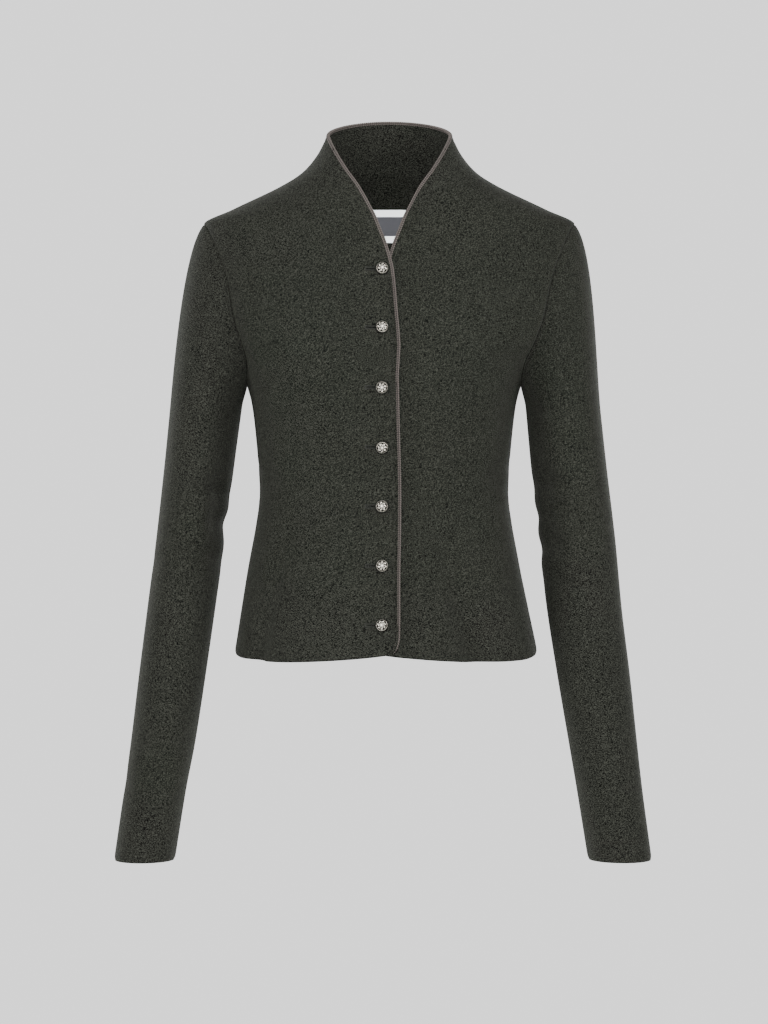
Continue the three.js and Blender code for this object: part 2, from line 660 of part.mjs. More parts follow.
// The braid runs from the right hem corner round the neck to the left hem corner. It is laid
// on the fronts' and the back's edges before these are drawn in to make room for it.
function bindingStations() {
  const stations = [
    ...boundEdge(fronts.right, boundSpots(fronts.right)).slice(0, -1),
    ...boundEdge(back, topSpots),
    ...boundEdge(fronts.left, boundSpots(fronts.left)).slice(0, -1).reverse(),
  ];
  return stations.map(({ point, normal }, i) => {
    const before = stations[Math.max(i - 1, 0)].point;
    const after = stations[Math.min(i + 1, stations.length - 1)].point;
    const inward = normal.clone().cross(after.clone().sub(before)).normalize();
    return { point, normal, inward };
  });
}

const binding = bindingGeometry(bindingStations());
for (const side of ['right', 'left']) {
  inset(fronts[side], boundSpots(fronts[side]), BINDING.width + SEAM_GAP);
  inset(fronts[side], columnSpots(fronts[side], FRONT_COLUMNS), SEAM_GAP / 2);
}
inset(back, topSpots, BINDING.width + SEAM_GAP);
inset(back, columnSpots(back, 0), SEAM_GAP / 2);
inset(back, columnSpots(back, BACK_COLUMNS), SEAM_GAP / 2);

addMesh(cardigan, 'front_right', cutButtonholes(wallGeometry(fronts.right, CLOTH, false)), WOOL);
addMesh(cardigan, 'front_left', wallGeometry(fronts.left, CLOTH, false), WOOL);
addMesh(cardigan, 'back', wallGeometry(back, CLOTH, false), WOOL);
for (const side of ['right', 'left']) {
  addMesh(cardigan, `sleeve_${side}`, wallGeometry(laySleeve(side), CLOTH, true), WOOL);
}
addMesh(cardigan, 'edge_binding', binding, BRAID);
addMesh(cardigan, 'neck_label', labelGeometry(), SATIN);
buttonHeights.forEach((z, i) => {
  const { point, normal } = spotAt(BUTTON.x, z);
  const button = addMesh(cardigan, `button_${i + 1}`, buttonGeometry(), PEWTER);
  button.position.copy(point).addScaledVector(normal, SHANK.stand);
  faceAlong(button, normal);
});

export default cardigan;
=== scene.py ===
# %% [markdown]
# # A boiled wool cardigan
#
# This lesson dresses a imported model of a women's cardigan: a garment filled out as on a wearer, with
# a grown-on stand collar, a V neck, long set-in sleeves, a braided edge and seven pewter buttons. The
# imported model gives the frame, and every new piece is worked out in the same frame, so each lands on
# the node that it dresses. All the sizes below are in millimetres, and add_mesh turns them to metres.

# %% Load the frame
import math
import bpy
import numpy as np
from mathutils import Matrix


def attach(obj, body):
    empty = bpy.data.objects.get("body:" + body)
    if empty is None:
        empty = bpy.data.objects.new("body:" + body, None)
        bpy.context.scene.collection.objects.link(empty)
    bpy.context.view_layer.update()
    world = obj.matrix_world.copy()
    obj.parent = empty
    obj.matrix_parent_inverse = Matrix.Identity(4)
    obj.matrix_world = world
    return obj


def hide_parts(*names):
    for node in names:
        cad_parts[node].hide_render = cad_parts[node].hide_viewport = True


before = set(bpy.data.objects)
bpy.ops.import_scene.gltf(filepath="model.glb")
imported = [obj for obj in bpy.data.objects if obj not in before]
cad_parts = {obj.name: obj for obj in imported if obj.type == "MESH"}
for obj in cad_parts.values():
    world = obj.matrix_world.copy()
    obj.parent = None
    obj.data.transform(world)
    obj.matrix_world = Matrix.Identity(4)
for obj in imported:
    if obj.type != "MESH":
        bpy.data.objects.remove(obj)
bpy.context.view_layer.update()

MM = 0.001
print("nodes in the frame:", len(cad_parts))

# %% [markdown]
# ## The camera
#
# A garment's cut is judged level with its middle, from a few metres away and through a long lens, so
# that its sides show little perspective. An orthographic camera would show none at all, and the cloth
# would look flat. The picture is 768 x 1024, and its height spans 1055 mm at the garment's middle.
# Blender fits a sensor's width to the longer side, so the lens follows from that height, the sensor
# and the distance.

# %% The camera
CAMERA_DISTANCE = 3500
CAMERA_HEIGHT = -346
PICTURE_HEIGHT = 1054.7
SENSOR = 36

camera_data = bpy.data.cameras.new("camera")
camera_data.sensor_width = SENSOR
camera_data.lens = SENSOR * CAMERA_DISTANCE / PICTURE_HEIGHT
camera = bpy.data.objects.new("camera", camera_data)
camera.location = (0, -CAMERA_DISTANCE * MM, CAMERA_HEIGHT * MM)
camera.rotation_euler = (math.pi / 2, 0, 0)
bpy.context.scene.collection.objects.link(camera)
bpy.context.scene.camera = camera
print("lens", round(camera_data.lens, 1), "mm")

# %% [markdown]
# ## Tables and curves
#
# A garment's form is easiest to state as a short table: one row for each height, with the width and
# the depths of its section there. A smooth curve is then drawn through each column. A cubic that
# never overshoots its rows is the right one, because cloth doesn't bulge between two measures.


# %% Tables and curves
def table(names, rows):
    """A table with named columns, each a numpy array."""
    return dict(zip(names.split(), np.array(rows, float).T))


def read(rows, column, z):
    """Reads a column at any heights: a cubic through the rows, whose slope at each row is the
    harmonic mean of the slopes on both sides, and level where the values turn round."""
    knots, values = rows["z"], rows[column]
    rise = np.diff(values) / np.diff(knots)
    turns = rise[:-1] * rise[1:] <= 0
    both = np.where(turns, 1, rise[:-1] + rise[1:])
    inner = np.where(turns, 0, 2 * rise[:-1] * rise[1:] / both)
    slope = np.concatenate([rise[:1], inner, rise[-1:]])
    z = np.clip(z, knots[0], knots[-1])
    i = np.clip(np.searchsorted(knots, z, side="right") - 1, 0, len(knots) - 2)
    step = knots[i + 1] - knots[i]
    t = (z - knots[i]) / step
    ends = values[i] * (1 + 2 * t) * (1 - t) ** 2 + values[i + 1] * t * t * (3 - 2 * t)
    return ends + step * (slope[i] * t * (1 - t) ** 2 - slope[i + 1] * t * t * (1 - t))


def mix(a, b, t):
    """The value a share t of the way from a to b."""
    return a + (b - a) * t


def bell(x):
    """A soft hump, 1 at the middle and near 0 two widths away."""
    return np.exp(-x * x)


def smoothstep(x, start, end):
    """0 before start, 1 after end, and an S-curve between."""
    t = np.clip((x - start) / (end - start), 0, 1)
    return t * t * (3 - 2 * t)


# %% [markdown]
# ## The garment's form
#
# Each level section of the body is an oval: its x is the half width times the sine of an angle, and
# its y a depth times the cosine. Front and back have depths of their own. The bust and the flutes of
# the skirt stand out from that oval, and the turn of the shoulder is rounded off in front and behind.
# A cloth simulation over a dress form could find such a shape too, but a table can be read, measured
# and mended row by row, and it gives the same garment each time.
#
# The sections' columns are a height, the section's middle, its half width, its two depths, and how
# lens-shaped it is. A flute's are the angles at which it starts and ends, the height of its top, its
# width in degrees and its depth. An angle of 0 is the middle of a face, and 90 the wearer's left.

# %% The sizes of the form
CLOTH = 2.5
SEAM_OVERLAP = 0.4  # each seam's two pieces meet this far past its line, so no light comes through
HEM_SIDE, HEM_DIP, HEM_DIP_BACK = -488, 9, 11
UNDERARM, SHOULDER_TIP = -216, -50
COLLAR_SIDE, COLLAR_BACK, NECK_TURN = 44, 63, 25
ARMHOLE_SCOOP = {"front": 30, "back": 26}
ARMHOLE_ROUND = 0.45
SHOULDER_SOFT, SHOULDER_SAMPLES = 24, 5  # the shoulder's turn is averaged this far up and down
SQUARENESS = 0.1
FLUTE_GROWTH = 1.3
LAP, LAP_EDGE, LAP_END = 3.9, 20, 38
BUST = dict(lift=8, angle=38, width=24, z=-185, height=62)

SECTIONS = table("z middle half front back lens", [
    (-505, 2.0, 158.5, 109.5, 117, 1),
    (-488, 2.0, 155.5, 108, 114, 1),
    (-447, 1.0, 148, 104.5, 106, 1),
    (-398, 0.0, 139, 99.5, 96, 1),
    (-350, 0.0, 130.5, 96, 88, 1),
    (-327, 0.0, 128.3, 95.5, 86, 1),
    (-300, 0.0, 129.3, 98, 86, 1),
    (-262, 0.0, 132.5, 104, 89, 1),
    (-235, 0.0, 136, 109, 92, 1),
    (-216, 0.0, 141, 112, 94, 1),
    (-193, 2.0, 150, 113.5, 96, 1),
    (-178, 4.0, 161, 113, 97, 1),
    (-141, 5.0, 182, 107, 98.5, 1),
    (-106, 5.5, 188.5, 98, 98, 1),
    (-72, 5.5, 191, 88, 93, 1.04),
    (-50, 5.5, 191, 80.5, 88, 1.1),
    (-35, 5.5, 162, 75.5, 84, 1.14),
    (-10, 5.5, 110, 66, 76, 1.1),
    (2, 5.5, 91, 61, 72, 1.06),
    (14, 5.5, 79.5, 54, 68.5, 1.02),
    (27, 5.5, 71, 43, 65, 1),
    (44, 5.5, 63.8, 27, 61.5, 1),
    (66, 5.5, 58, 20, 58, 1),
])

FRONT_EDGE = table("z reach", [
    (-489, -6.7), (-482, -11.8), (-470, -14.5), (-440, -15.6), (-330, -17.5), (-260, -16),
    (-202, -14.2), (-135, -8), (-102, -4.5), (-88, -1.3), (-74, 3), (-41, 16.8), (-15, 30),
    (0, 39.5), (17, 50), (33, 58.6), (44, 63.8),
])

FLUTES = {
    "front": table("start end top width depth", [
        (20, 37, -290, 6, -13),
        (8, 17, -330, 8, 3.2),
        (52, 60, -340, 9, 2.6),
        (-43, -58, -320, 6, -9),
        (-26, -36, -350, 9, 3.4),
    ]),
    "back": table("start end top width depth", [
        (12, 15, -300, 9, -6),
        (-24, -31, -320, 8, -5),
        (-6, -8, -345, 9, 3),
        (46, 57, -335, 9, -4.5),
        (-55, -66, -350, 8, -3.5),
    ]),
}

# %% [markdown]
# ## Creases
#
# Boiled wool is thick and felted, so it doesn't wrinkle: it bends in a few broad, soft creases. Each
# is a line on the cloth with a width and a depth, deepest at its middle and fading out at both ends.
# They are listed one by one, uneven in length and depth, where such a garment has them: from the
# armhole towards the bust, at the waist, below the neck, and at the small of the back.

# %% Creases
CREASE_FADE = 0.42

BODY_CREASES = {
    "front": table("x z to_x to_z width depth", [
        (-150, -120, -118, -132, 6, -3.2),
        (-140, -178, -96, -200, 9, -2.6),
        (-133, -300, -104, -318, 6, -3.0),
        (-131, -322, -96, -330, 7, -2.4),
        (-128, -345, -100, -338, 6, -2.0),
        (-60, -262, -34, -300, 12, -1.8),
        (150, -112, 112, -128, 7, -2.8),
        (141, -180, 92, -204, 9, -2.4),
        (132, -296, 100, -312, 6, -3.0),
        (131, -318, 96, -328, 7, -2.6),
        (128, -342, 102, -334, 6, -2.0),
        (58, -268, 40, -305, 12, -1.8),
        (30, -96, 58, -70, 12, -1.6),
        (-30, -70, -62, -58, 12, -1.4),
    ]),
    "back": table("x z to_x to_z width depth", [
        (-118, -296, -52, -312, 8, -3.6),
        (-110, -322, -30, -330, 8, -3.0),
        (118, -300, 46, -318, 8, -3.4),
        (106, -330, 34, -336, 7, -2.6),
        (-20, -300, 24, -306, 10, -2.4),
        (150, -100, 112, -150, 9, -2.8),
        (-150, -104, -116, -156, 9, -3.0),
        (-40, 6, 38, 4, 9, -2.4),
    ]),
}


def creases(rows, x, z):
    """How far the cloth stands out at (x, z): for each crease its depth, times a bell of the
    distance from its line over its width, times a fade towards the line's two ends."""
    out = np.zeros(np.broadcast(x, z).shape)
    for x0, z0, x1, z1, width, depth in zip(*rows.values()):
        along = np.array([x1 - x0, z1 - z0])
        length = np.hypot(*along)
        t = ((x - x0) * along[0] + (z - z0) * along[1]) / length ** 2
        aside = ((x - x0) * along[1] - (z - z0) * along[0]) / length
        out = out + depth * bell(aside / width) * bell((t - 0.5) / CREASE_FADE)
    return out


print("creases", {face: len(rows["x"]) for face, rows in BODY_CREASES.items()})

# %% [markdown]
# ## A point of the form
#
# A point is found from its face, its angle and its height. Its normal is found from two short chords,
# so a new fold in the tables needs no new formula.


# %% A point of the form
def swell(face, angle, z):
    """How far bust, flutes and creases stand out from the plain oval. A flute starts at nothing at
    its top height and grows, and turns from one angle to another, down to the hem."""
    out = np.zeros(np.broadcast(angle, z).shape)
    if face == "front":
        aside = (np.abs(angle) - BUST["angle"]) / BUST["width"]
        above = (z - BUST["z"]) / BUST["height"]
        out = out + BUST["lift"] * bell(aside) * bell(above)
    for start, end, top, width, depth in zip(*FLUTES[face].values()):
        t = np.clip((top - z) / (top - HEM_SIDE), 0, None)
        grown = np.minimum(t, 1) ** FLUTE_GROWTH
        out = out + depth * grown * bell((angle - mix(start, end, t)) / width)
    across = read(SECTIONS, "half", z) * np.sin(np.radians(angle))
    return out + creases(BODY_CREASES[face], across, z)


def half_width(a, z):
    """The half width, with the shoulder's turn averaged over some height away from the seam. Nearer
    heights weigh more."""
    count, step = SHOULDER_SAMPLES + 1, SHOULDER_SOFT / SHOULDER_SAMPLES
    soft = sum((count - abs(i)) / count ** 2 * read(SECTIONS, "half", z + i * step)
               for i in range(-SHOULDER_SAMPLES, count))
    return mix(soft, read(SECTIONS, "half", z), np.sin(a) ** 6)


def oval(face, angle, z):
    """A point of the form: x = middle + (half width + swell) sin a, y = (depth + swell) cos a,
    with the depth a little fuller at the sides. The angle is 90 at the wearer's left."""
    angle, z = np.broadcast_arrays(np.asarray(angle, float), np.asarray(z, float))
    a = np.radians(angle)
    out = swell(face, angle, z)
    cosine = np.cos(a)
    narrowed = np.sign(cosine) * np.abs(cosine) ** read(SECTIONS, "lens", z)
    depth = (read(SECTIONS, face, z) * (1 + SQUARENESS * np.sin(a) ** 2) + out) * narrowed
    x = read(SECTIONS, "middle", z) + (half_width(a, z) + out) * np.sin(a)
    return np.stack([x, -depth if face == "front" else depth, z], axis=-1)


def unit(vectors):
    """Vectors of length 1."""
    return vectors / np.maximum(np.linalg.norm(vectors, axis=-1, keepdims=True), 1e-9)


def oval_ways(face, angle, z):
    """How the form runs for a degree of angle and for a millimetre of height, by short chords."""
    around = oval(face, angle + 0.5, z) - oval(face, angle - 0.5, z)
    up = oval(face, angle, z + 0.5) - oval(face, angle, z - 0.5)
    return around, up


def oval_normal(face, angle, z):
    """The form's outward normal: the cross product of its two ways."""
    around, up = oval_ways(face, angle, z)
    return unit(np.cross(around, up)) * (1 if face == "front" else -1)


print("waist", 2 * read(SECTIONS, "half", -327), "mm across")

# %% [markdown]
# ## Panels as patches
#
# A maker cuts two fronts and a back, and each has four edges: hem, side with armhole and shoulder,
# front edge or second side, and collar top. A Coons patch is the classic surface for that: it blends
# a point from the four edges, so the grid's lines follow the cut, and the seams fall on its borders.


# %% Panels as patches
def armhole_angle(face, z):
    """The armhole is scooped out of the side by a power of half a sine wave over its height."""
    t = np.clip((z - UNDERARM) / (SHOULDER_TIP - UNDERARM), 0, 1)
    return 90 - ARMHOLE_SCOOP[face] * np.sin(np.pi * t) ** ARMHOLE_ROUND


def armhole_height(around):
    """Heights round the armhole, from the shoulder tip (0) to the underarm (180)."""
    return mix(UNDERARM, SHOULDER_TIP, (1 + np.cos(np.radians(around))) / 2)


def edge_angle(z):
    """The angle at which a front's edge lies."""
    share = read(FRONT_EDGE, "reach", z) / read(SECTIONS, "half", z)
    return np.degrees(np.arcsin(np.clip(share, -1, 1)))


def spread(count, pinch):
    """Numbers from 0 to 1, closer together towards both ends."""
    t = np.linspace(0, 1, count)
    return t - pinch * np.sin(2 * np.pi * t) / (2 * np.pi)


ARMHOLE_STEPS = 60
LOWER_ROWS, SHOULDER_ROWS = 96, 44
side_heights = np.concatenate([
    mix(HEM_SIDE, UNDERARM, spread(LOWER_ROWS, 0.7))[:-1],
    armhole_height(np.linspace(180, 0, ARMHOLE_STEPS + 1)),
    mix(SHOULDER_TIP, COLLAR_SIDE, spread(SHOULDER_ROWS, 0.4))[1:],
])
edge_heights = np.where(
    side_heights <= SHOULDER_TIP, side_heights,
    mix(SHOULDER_TIP, NECK_TURN, (side_heights - SHOULDER_TIP) / (COLLAR_SIDE - SHOULDER_TIP)))
row_shares = (side_heights - HEM_SIDE) / (COLLAR_SIDE - HEM_SIDE)


def curve(angle, z):
    """A line drawn on the form: rows of angle and height."""
    return np.stack(np.broadcast_arrays(angle, z), axis=-1).astype(float)


def on_form(face, line):
    """The points of a line that is drawn on the form."""
    return oval(face, line[..., 0], line[..., 1])


def way_along(points):
    """Unit vectors along a line of points."""
    return unit(np.gradient(points, axis=0))


def draw_in(face, line, amount, towards):
    """Moves a line sideways over the form by an amount in mm, towards a point of it. The sideways
    vector is solved for degrees of angle and mm of height by least squares."""
    points = on_form(face, line)
    normal = oval_normal(face, line[:, 0], line[:, 1])
    aside = unit(np.cross(way_along(points), normal))
    aside *= np.sign(np.sum(aside * (towards - points), axis=-1, keepdims=True))
    around, up = oval_ways(face, line[:, 0], line[:, 1])
    aa, uu, au = (np.sum(p * q, axis=-1) for p, q in ((around, around), (up, up), (around, up)))
    pa, pu = np.sum(aside * around, axis=-1), np.sum(aside * up, axis=-1)
    whole = aa * uu - au * au
    steps = np.stack([(pa * uu - pu * au) / whole, (pu * aa - pa * au) / whole], axis=-1)
    return line + amount * steps


def patch(left, right, bottom, top, across, upward):
    """A Coons patch: the blend of left and right, plus that of bottom and top, less the blend of
    the four corners. Rows of the result run upwards, its columns across."""
    u, v = across[None, :, None], upward[:, None, None]
    sides = mix(left[:, None], right[:, None], u)
    ends = mix(bottom[None], top[None], v)
    corners = mix(mix(bottom[0], bottom[-1], u), mix(top[0], top[-1], u), v)
    return sides + ends - corners


FRONT_COLUMNS, BACK_COLUMNS = 84, 132
front_across = spread(FRONT_COLUMNS, 0.6)
back_across = spread(BACK_COLUMNS, 0.6)
FRONT_MIDDLE, BACK_MIDDLE = np.array([70, -95, -260]), np.array([0, 90, -200])
BINDING_WIDTH, BINDING_THICKNESS = 4, 4.1
TUCK = 0.7  # how far the cloth reaches into the braid that is folded over it


def front_lines():
    """The four edges of the left front's full cut, and the whole bound edge as one line."""
    left = curve(edge_angle(edge_heights), edge_heights)
    right = curve(armhole_angle("front", side_heights), side_heights)
    dip = HEM_DIP * np.sin(np.pi * front_across) ** 0.7
    bottom = curve(mix(edge_angle(HEM_SIDE), 90, front_across), HEM_SIDE - dip)
    rim = mix(NECK_TURN, COLLAR_SIDE, front_across)
    top = curve(edge_angle(rim), rim)
    return left, right, bottom, top, np.concatenate([left, top[1:]])


def ended_at(side, height):
    """A side edge whose rows above the shoulder tip are drawn together, so that they end at a
    height: below the braid there is less cloth than in the full cut."""
    share = (height - SHOULDER_TIP) / (side[-1, 1] - SHOULDER_TIP)
    above = side[:, 1] > SHOULDER_TIP
    side[above, 1] = mix(SHOULDER_TIP, side[above, 1], share)
    return side


def front_patch():
    """The left front as angles and heights, drawn in for its binding and its seams."""
    left, right, bottom, top, bound = front_lines()
    bound = draw_in("front", bound, BINDING_WIDTH - TUCK, FRONT_MIDDLE)
    left, top = bound[:len(left)], bound[len(left) - 1:]
    right = draw_in("front", right, -SEAM_OVERLAP / 2, FRONT_MIDDLE)
    right = ended_at(right, top[-1, 1])
    top[-1] = right[-1]
    bottom[0], bottom[-1] = left[0], right[0]
    return patch(left, right, bottom, top, front_across, row_shares)


def back_rim(across):
    """The top edge of the back's full cut: the collar rises from its sides to the middle."""
    rise = (COLLAR_BACK - COLLAR_SIDE) * np.sin(np.pi * across) ** 0.9
    return curve(mix(-90, 90, across), COLLAR_SIDE + rise)


def back_patch():
    """The back as angles and heights, drawn in for its binding and its seams."""
    side = curve(armhole_angle("back", side_heights), side_heights)
    right = draw_in("back", side, -SEAM_OVERLAP / 2, BACK_MIDDLE)
    dip = HEM_DIP_BACK * np.sin(np.pi * back_across)
    bottom = curve(mix(-90, 90, back_across), HEM_SIDE - dip)
    top = draw_in("back", back_rim(back_across), BINDING_WIDTH - TUCK, BACK_MIDDLE)
    right = ended_at(right, top[-1, 1])
    left = right * [-1, 1]
    top[0], top[-1] = left[-1], right[-1]
    bottom[0], bottom[-1] = left[0], right[0]
    return patch(left, right, bottom, top, back_across, row_shares)


print("rows", len(side_heights), "columns", FRONT_COLUMNS, BACK_COLUMNS)

# %% [markdown]
# ## From a grid to a wall of cloth
#
# Cloth has two sides and a thickness. Each panel is its outer grid, the same grid moved inwards along
# the normals, and a rim that joins the two. Towards a seam or a hem the felted wool is pressed thin,
# so both sides sink towards each other over the last millimetres: that is what shows as a seam line.
# A Solidify modifier would give the thickness in one step, but it can't press the cloth thin at a seam
# or leave a buttonhole open with its own rim.


# %% A mesh in the frame
def add_mesh(name, points, faces, cut=None):
    """A mesh object from points in mm, in the frame's place, that rides on the cardigan. 'cut' is
    where each point lies on its flat cut piece, in mm, for the weave or knit to follow."""
    mesh = bpy.data.meshes.new(name)
    mesh.from_pydata((np.asarray(points) * MM).tolist(), [], np.asarray(faces).tolist())
    mesh.polygons.foreach_set("use_smooth", np.ones(len(mesh.polygons), bool))
    mesh.set_sharp_from_angle(angle=math.radians(60))
    if cut is not None:
        places = np.concatenate([cut, np.zeros((len(cut), 1))], axis=1).astype(np.float32)
        mesh.attributes.new("cut", "FLOAT_VECTOR", "POINT").data.foreach_set("vector", places.ravel())
    mesh.update()
    made = bpy.data.objects.new(name, mesh)
    bpy.context.scene.collection.objects.link(made)
    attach(made, "root")
    return made


# %% Grids: faces, normals and distances
def grid_faces(rows, columns, closed=False):
    """The quads of a grid of points, row by row. The last column may join the first."""
    k, j = np.meshgrid(np.arange(rows - 1), np.arange(columns - (not closed)), indexing="ij")
    here, right = k * columns + j, k * columns + (j + 1) % columns
    return np.stack([here, right, right + columns, here + columns], -1)


def grid_normals(grid, closed=False):
    """Normals of a grid: the cross product of its central differences both ways."""
    if closed:
        across = np.roll(grid, -1, axis=1) - np.roll(grid, 1, axis=1)
    else:
        across = np.gradient(grid, axis=1)
    return unit(np.cross(across, np.gradient(grid, axis=0)))


def circles(aside, up, count):
    """A circle of unit vectors round each point of a line: cos a times aside, plus sin a times up."""
    turn = np.linspace(0, 2 * np.pi, count, endpoint=False)[None, :, None]
    return aside[:, None] * np.cos(turn) + up[:, None] * np.sin(turn)


def outwards(points, faces):
    """The faces, turned round if the closed body that they make is inside out."""
    a, b, c, d = (points[faces[:, i]] for i in range(4))
    volume = np.sum(a * np.cross(b, c)) + np.sum(a * np.cross(c, d))
    return faces if volume > 0 else faces[:, ::-1]


def run_from_start(grid, axis):
    """The distance of each point along its grid line from the line's start."""
    steps = np.linalg.norm(np.diff(grid, axis=axis), axis=-1)
    return np.concatenate([np.zeros_like(steps.take([0], axis)), np.cumsum(steps, axis)], axis)


def run_from_end(grid, axis):
    """The distance of each point along its grid line from the line's end."""
    return np.flip(run_from_start(np.flip(grid, axis), axis), axis)


def area(grid):
    """The area of a grid of points, in square metres."""
    across, up = grid[:-1, 1:] - grid[:-1, :-1], grid[1:, :-1] - grid[:-1, :-1]
    return float(np.linalg.norm(np.cross(across, up), axis=-1).sum()) * MM * MM


# %% A wall of cloth
SEAM_SINK, SEAM_REACH = 1.15, 1.5
STITCH_LINE, HEM_LINE = 5, 3
STITCH_SINK, STITCH_REACH = 0.3, 0.8


def seam(distance):
    """How far the cloth sinks at a distance from a seam or hem."""
    return SEAM_SINK * bell(distance / SEAM_REACH)


def stitched(distance, line):
    """How far a row of stitches draws the cloth in, where it runs at 'line' from the edge."""
    return STITCH_SINK * bell((distance - line) / STITCH_REACH)


def rim(a, b, count):
    """Quads that join an edge of the outer grid, from a to b, to the inner grid's same edge."""
    return np.stack([a, b, b + count, a + count], -1)


def wall(name, outer, inner, closed=False, cut=None, slits=None):
    """A closed shell of an outer and an inner grid, joined round its rim and round its slits.
    'slits' marks the cells that stay open: for each such cell, a rim runs along every side whose
    neighbour is closed."""
    rows, columns = outer.shape[:2]
    count = rows * columns
    cells = grid_faces(rows, columns, closed)
    shut = np.ones(cells.shape[:2], bool) if slits is None else ~slits
    beside = np.pad(shut, 1)
    if closed:
        beside[:, 0], beside[:, -1] = beside[:, -2], beside[:, 1]
    quads = cells[shut]
    faces = [quads, quads[:, ::-1] + count]
    for way, (first, second) in enumerate(((0, 1), (1, 2), (2, 3), (3, 0))):
        neighbour = (beside[:-2, 1:-1], beside[1:-1, 2:], beside[2:, 1:-1], beside[1:-1, :-2])[way]
        ends = cells[shut & ~neighbour]
        faces.append(rim(ends[:, first], ends[:, second], count)[:, ::-1])
    points = np.concatenate([outer.reshape(-1, 3), inner.reshape(-1, 3)])
    return add_mesh(name, points, outwards(points, np.concatenate(faces)),
                    None if cut is None else np.tile(cut.reshape(-1, 2), (2, 1)))


def cloth(name, grid, outward, sinking, closed=False, slits=None):
    """A wall of cloth under a grid of its outer points. Both its sides sink towards each other."""
    normals = grid_normals(grid, closed)
    normals *= np.sign(np.sum(normals * outward))
    sinking = sinking[..., None]
    cut = np.stack([run_from_start(grid, 1), run_from_start(grid, 0)], axis=-1)
    return wall(name, grid - normals * sinking, grid - normals * (CLOTH - sinking), closed, cut, slits)


print("cloth", CLOTH, "mm thick, and", round(CLOTH - 2 * SEAM_SINK, 1), "mm at a seam")

# %% [markdown]
# ## Fronts and back
#
# The right front laps over the left one, so the left one dips inwards under it and comes back out to
# the form. The fronts are one cut, mirrored, so the same patch serves both. The buttonholes are real
# slits: the grid's rows part round each of them, and the cells between its lips are left out. A
# Boolean cut would open them too, but it leaves stray edges that shade badly on soft cloth.


# %% Fronts and back
BUTTON_X, BUTTON_TOP, BUTTON_STEP, BUTTON_COUNT = -2, -102.4, 59.5, 7
SLIT_START, SLIT_END, SLIT_WIDTH = -18.4, 0.6, 1.3
SLIT_ROWS, SLIT_FADE = 7, 14
button_heights = BUTTON_TOP - BUTTON_STEP * np.arange(BUTTON_COUNT)


def lap_lift(x):
    """The left front lies deep as far as the lap's edge and comes out to the form beyond it."""
    return -LAP * (1 - smoothstep(np.abs(x), LAP_EDGE, LAP_END))


def laid(face, line, under=False):
    """The points of a line or grid on the form, and their normals. Under the other front's lap, the
    points lie deeper."""
    points = on_form(face, line)
    normals = oval_normal(face, line[..., 0], line[..., 1])
    if under:
        points = points + normals * lap_lift(points[..., 0])[..., None]
    return points, normals


def part_rows(spots):
    """Parts the right front's rows round each buttonhole. The two rows nearest to it become its
    lips, and the rows beyond follow them less and less, as do the columns past its ends. Gives the
    cells that stay open."""
    slits = np.zeros((spots.shape[0] - 1, spots.shape[1] - 1), bool)
    x = on_form("front", spots)[..., 0]
    for z in button_heights:
        level = np.argmin(np.abs(spots[:, 0, 1] - z))
        middle = np.argmin(np.abs(x[level] - (SLIT_START + SLIT_END) / 2))
        low = np.searchsorted(spots[:, middle, 1], z) - 1
        past = np.maximum(SLIT_START - x[low], x[low] - SLIT_END)
        follow = 1 - smoothstep(past, 0, SLIT_FADE)
        for lip, way in ((low, -1), (low + 1, 1)):
            shift = follow * (z + way * SLIT_WIDTH / 2 - spots[lip, :, 1])
            for i in range(SLIT_ROWS):
                spots[lip + way * i, :, 1] += shift * (1 - i / SLIT_ROWS)
        slits[low] = (past[:-1] <= 0) & (past[1:] <= 0)
    return slits


fronts = {}
for side, sign in (("right", -1), ("left", 1)):
    spots = front_patch() * [sign, 1]
    slits = part_rows(spots) if side == "right" else None
    grid, outward = laid("front", spots, under=side == "left")
    hem = run_from_start(grid, 0)
    bound = np.minimum(run_from_start(grid, 1), run_from_end(grid, 0)) + BINDING_WIDTH - TUCK
    sinking = (seam(np.minimum(run_from_end(grid, 1), hem)) + stitched(hem, HEM_LINE)
               + stitched(bound, BINDING_WIDTH + STITCH_LINE))
    fronts[side] = cloth(f"front_{side}_knit", grid, outward, sinking, slits=slits)
    print("front", side, round(area(grid), 3), "m2")

grid, outward = laid("back", back_patch())
hem = run_from_start(grid, 0)
bound = run_from_end(grid, 0) + BINDING_WIDTH - TUCK
sides = np.minimum(run_from_start(grid, 1), run_from_end(grid, 1))
back = cloth("back_knit", grid, outward, seam(np.minimum(sides, hem)) + stitched(hem, HEM_LINE)
             + stitched(bound, BINDING_WIDTH + STITCH_LINE))
print("back", round(area(grid), 3), "m2")

# %% [markdown]
# ## Sleeves
#
# A set-in sleeve leaves the armhole, turns over the shoulder and hangs. Its head is a Hermite curve
# from each point of the armhole to a level ring under the arm: the curve's start and end speeds make
# the crown round on top and short under the arm. Below it the sleeve is a tube of oval rings, with
# the soft creases of a bent elbow. Head and tube are one grid, and a light smoothing down its rows
# blends them. Angles round a sleeve are 0 on its outer side, 90 in front and 180 under the arm. A
# crease's row gives its height and angle, how far it spreads round the sleeve, how high it is, how
# much it slants for each degree, and its depth.

# %% Sleeves
SLEEVE_START, CUFF = -240, -700
SLEEVE_TUCK = 1.2  # how far the sleeve reaches under the armhole's edge
SLEEVE_SMOOTHING = 4
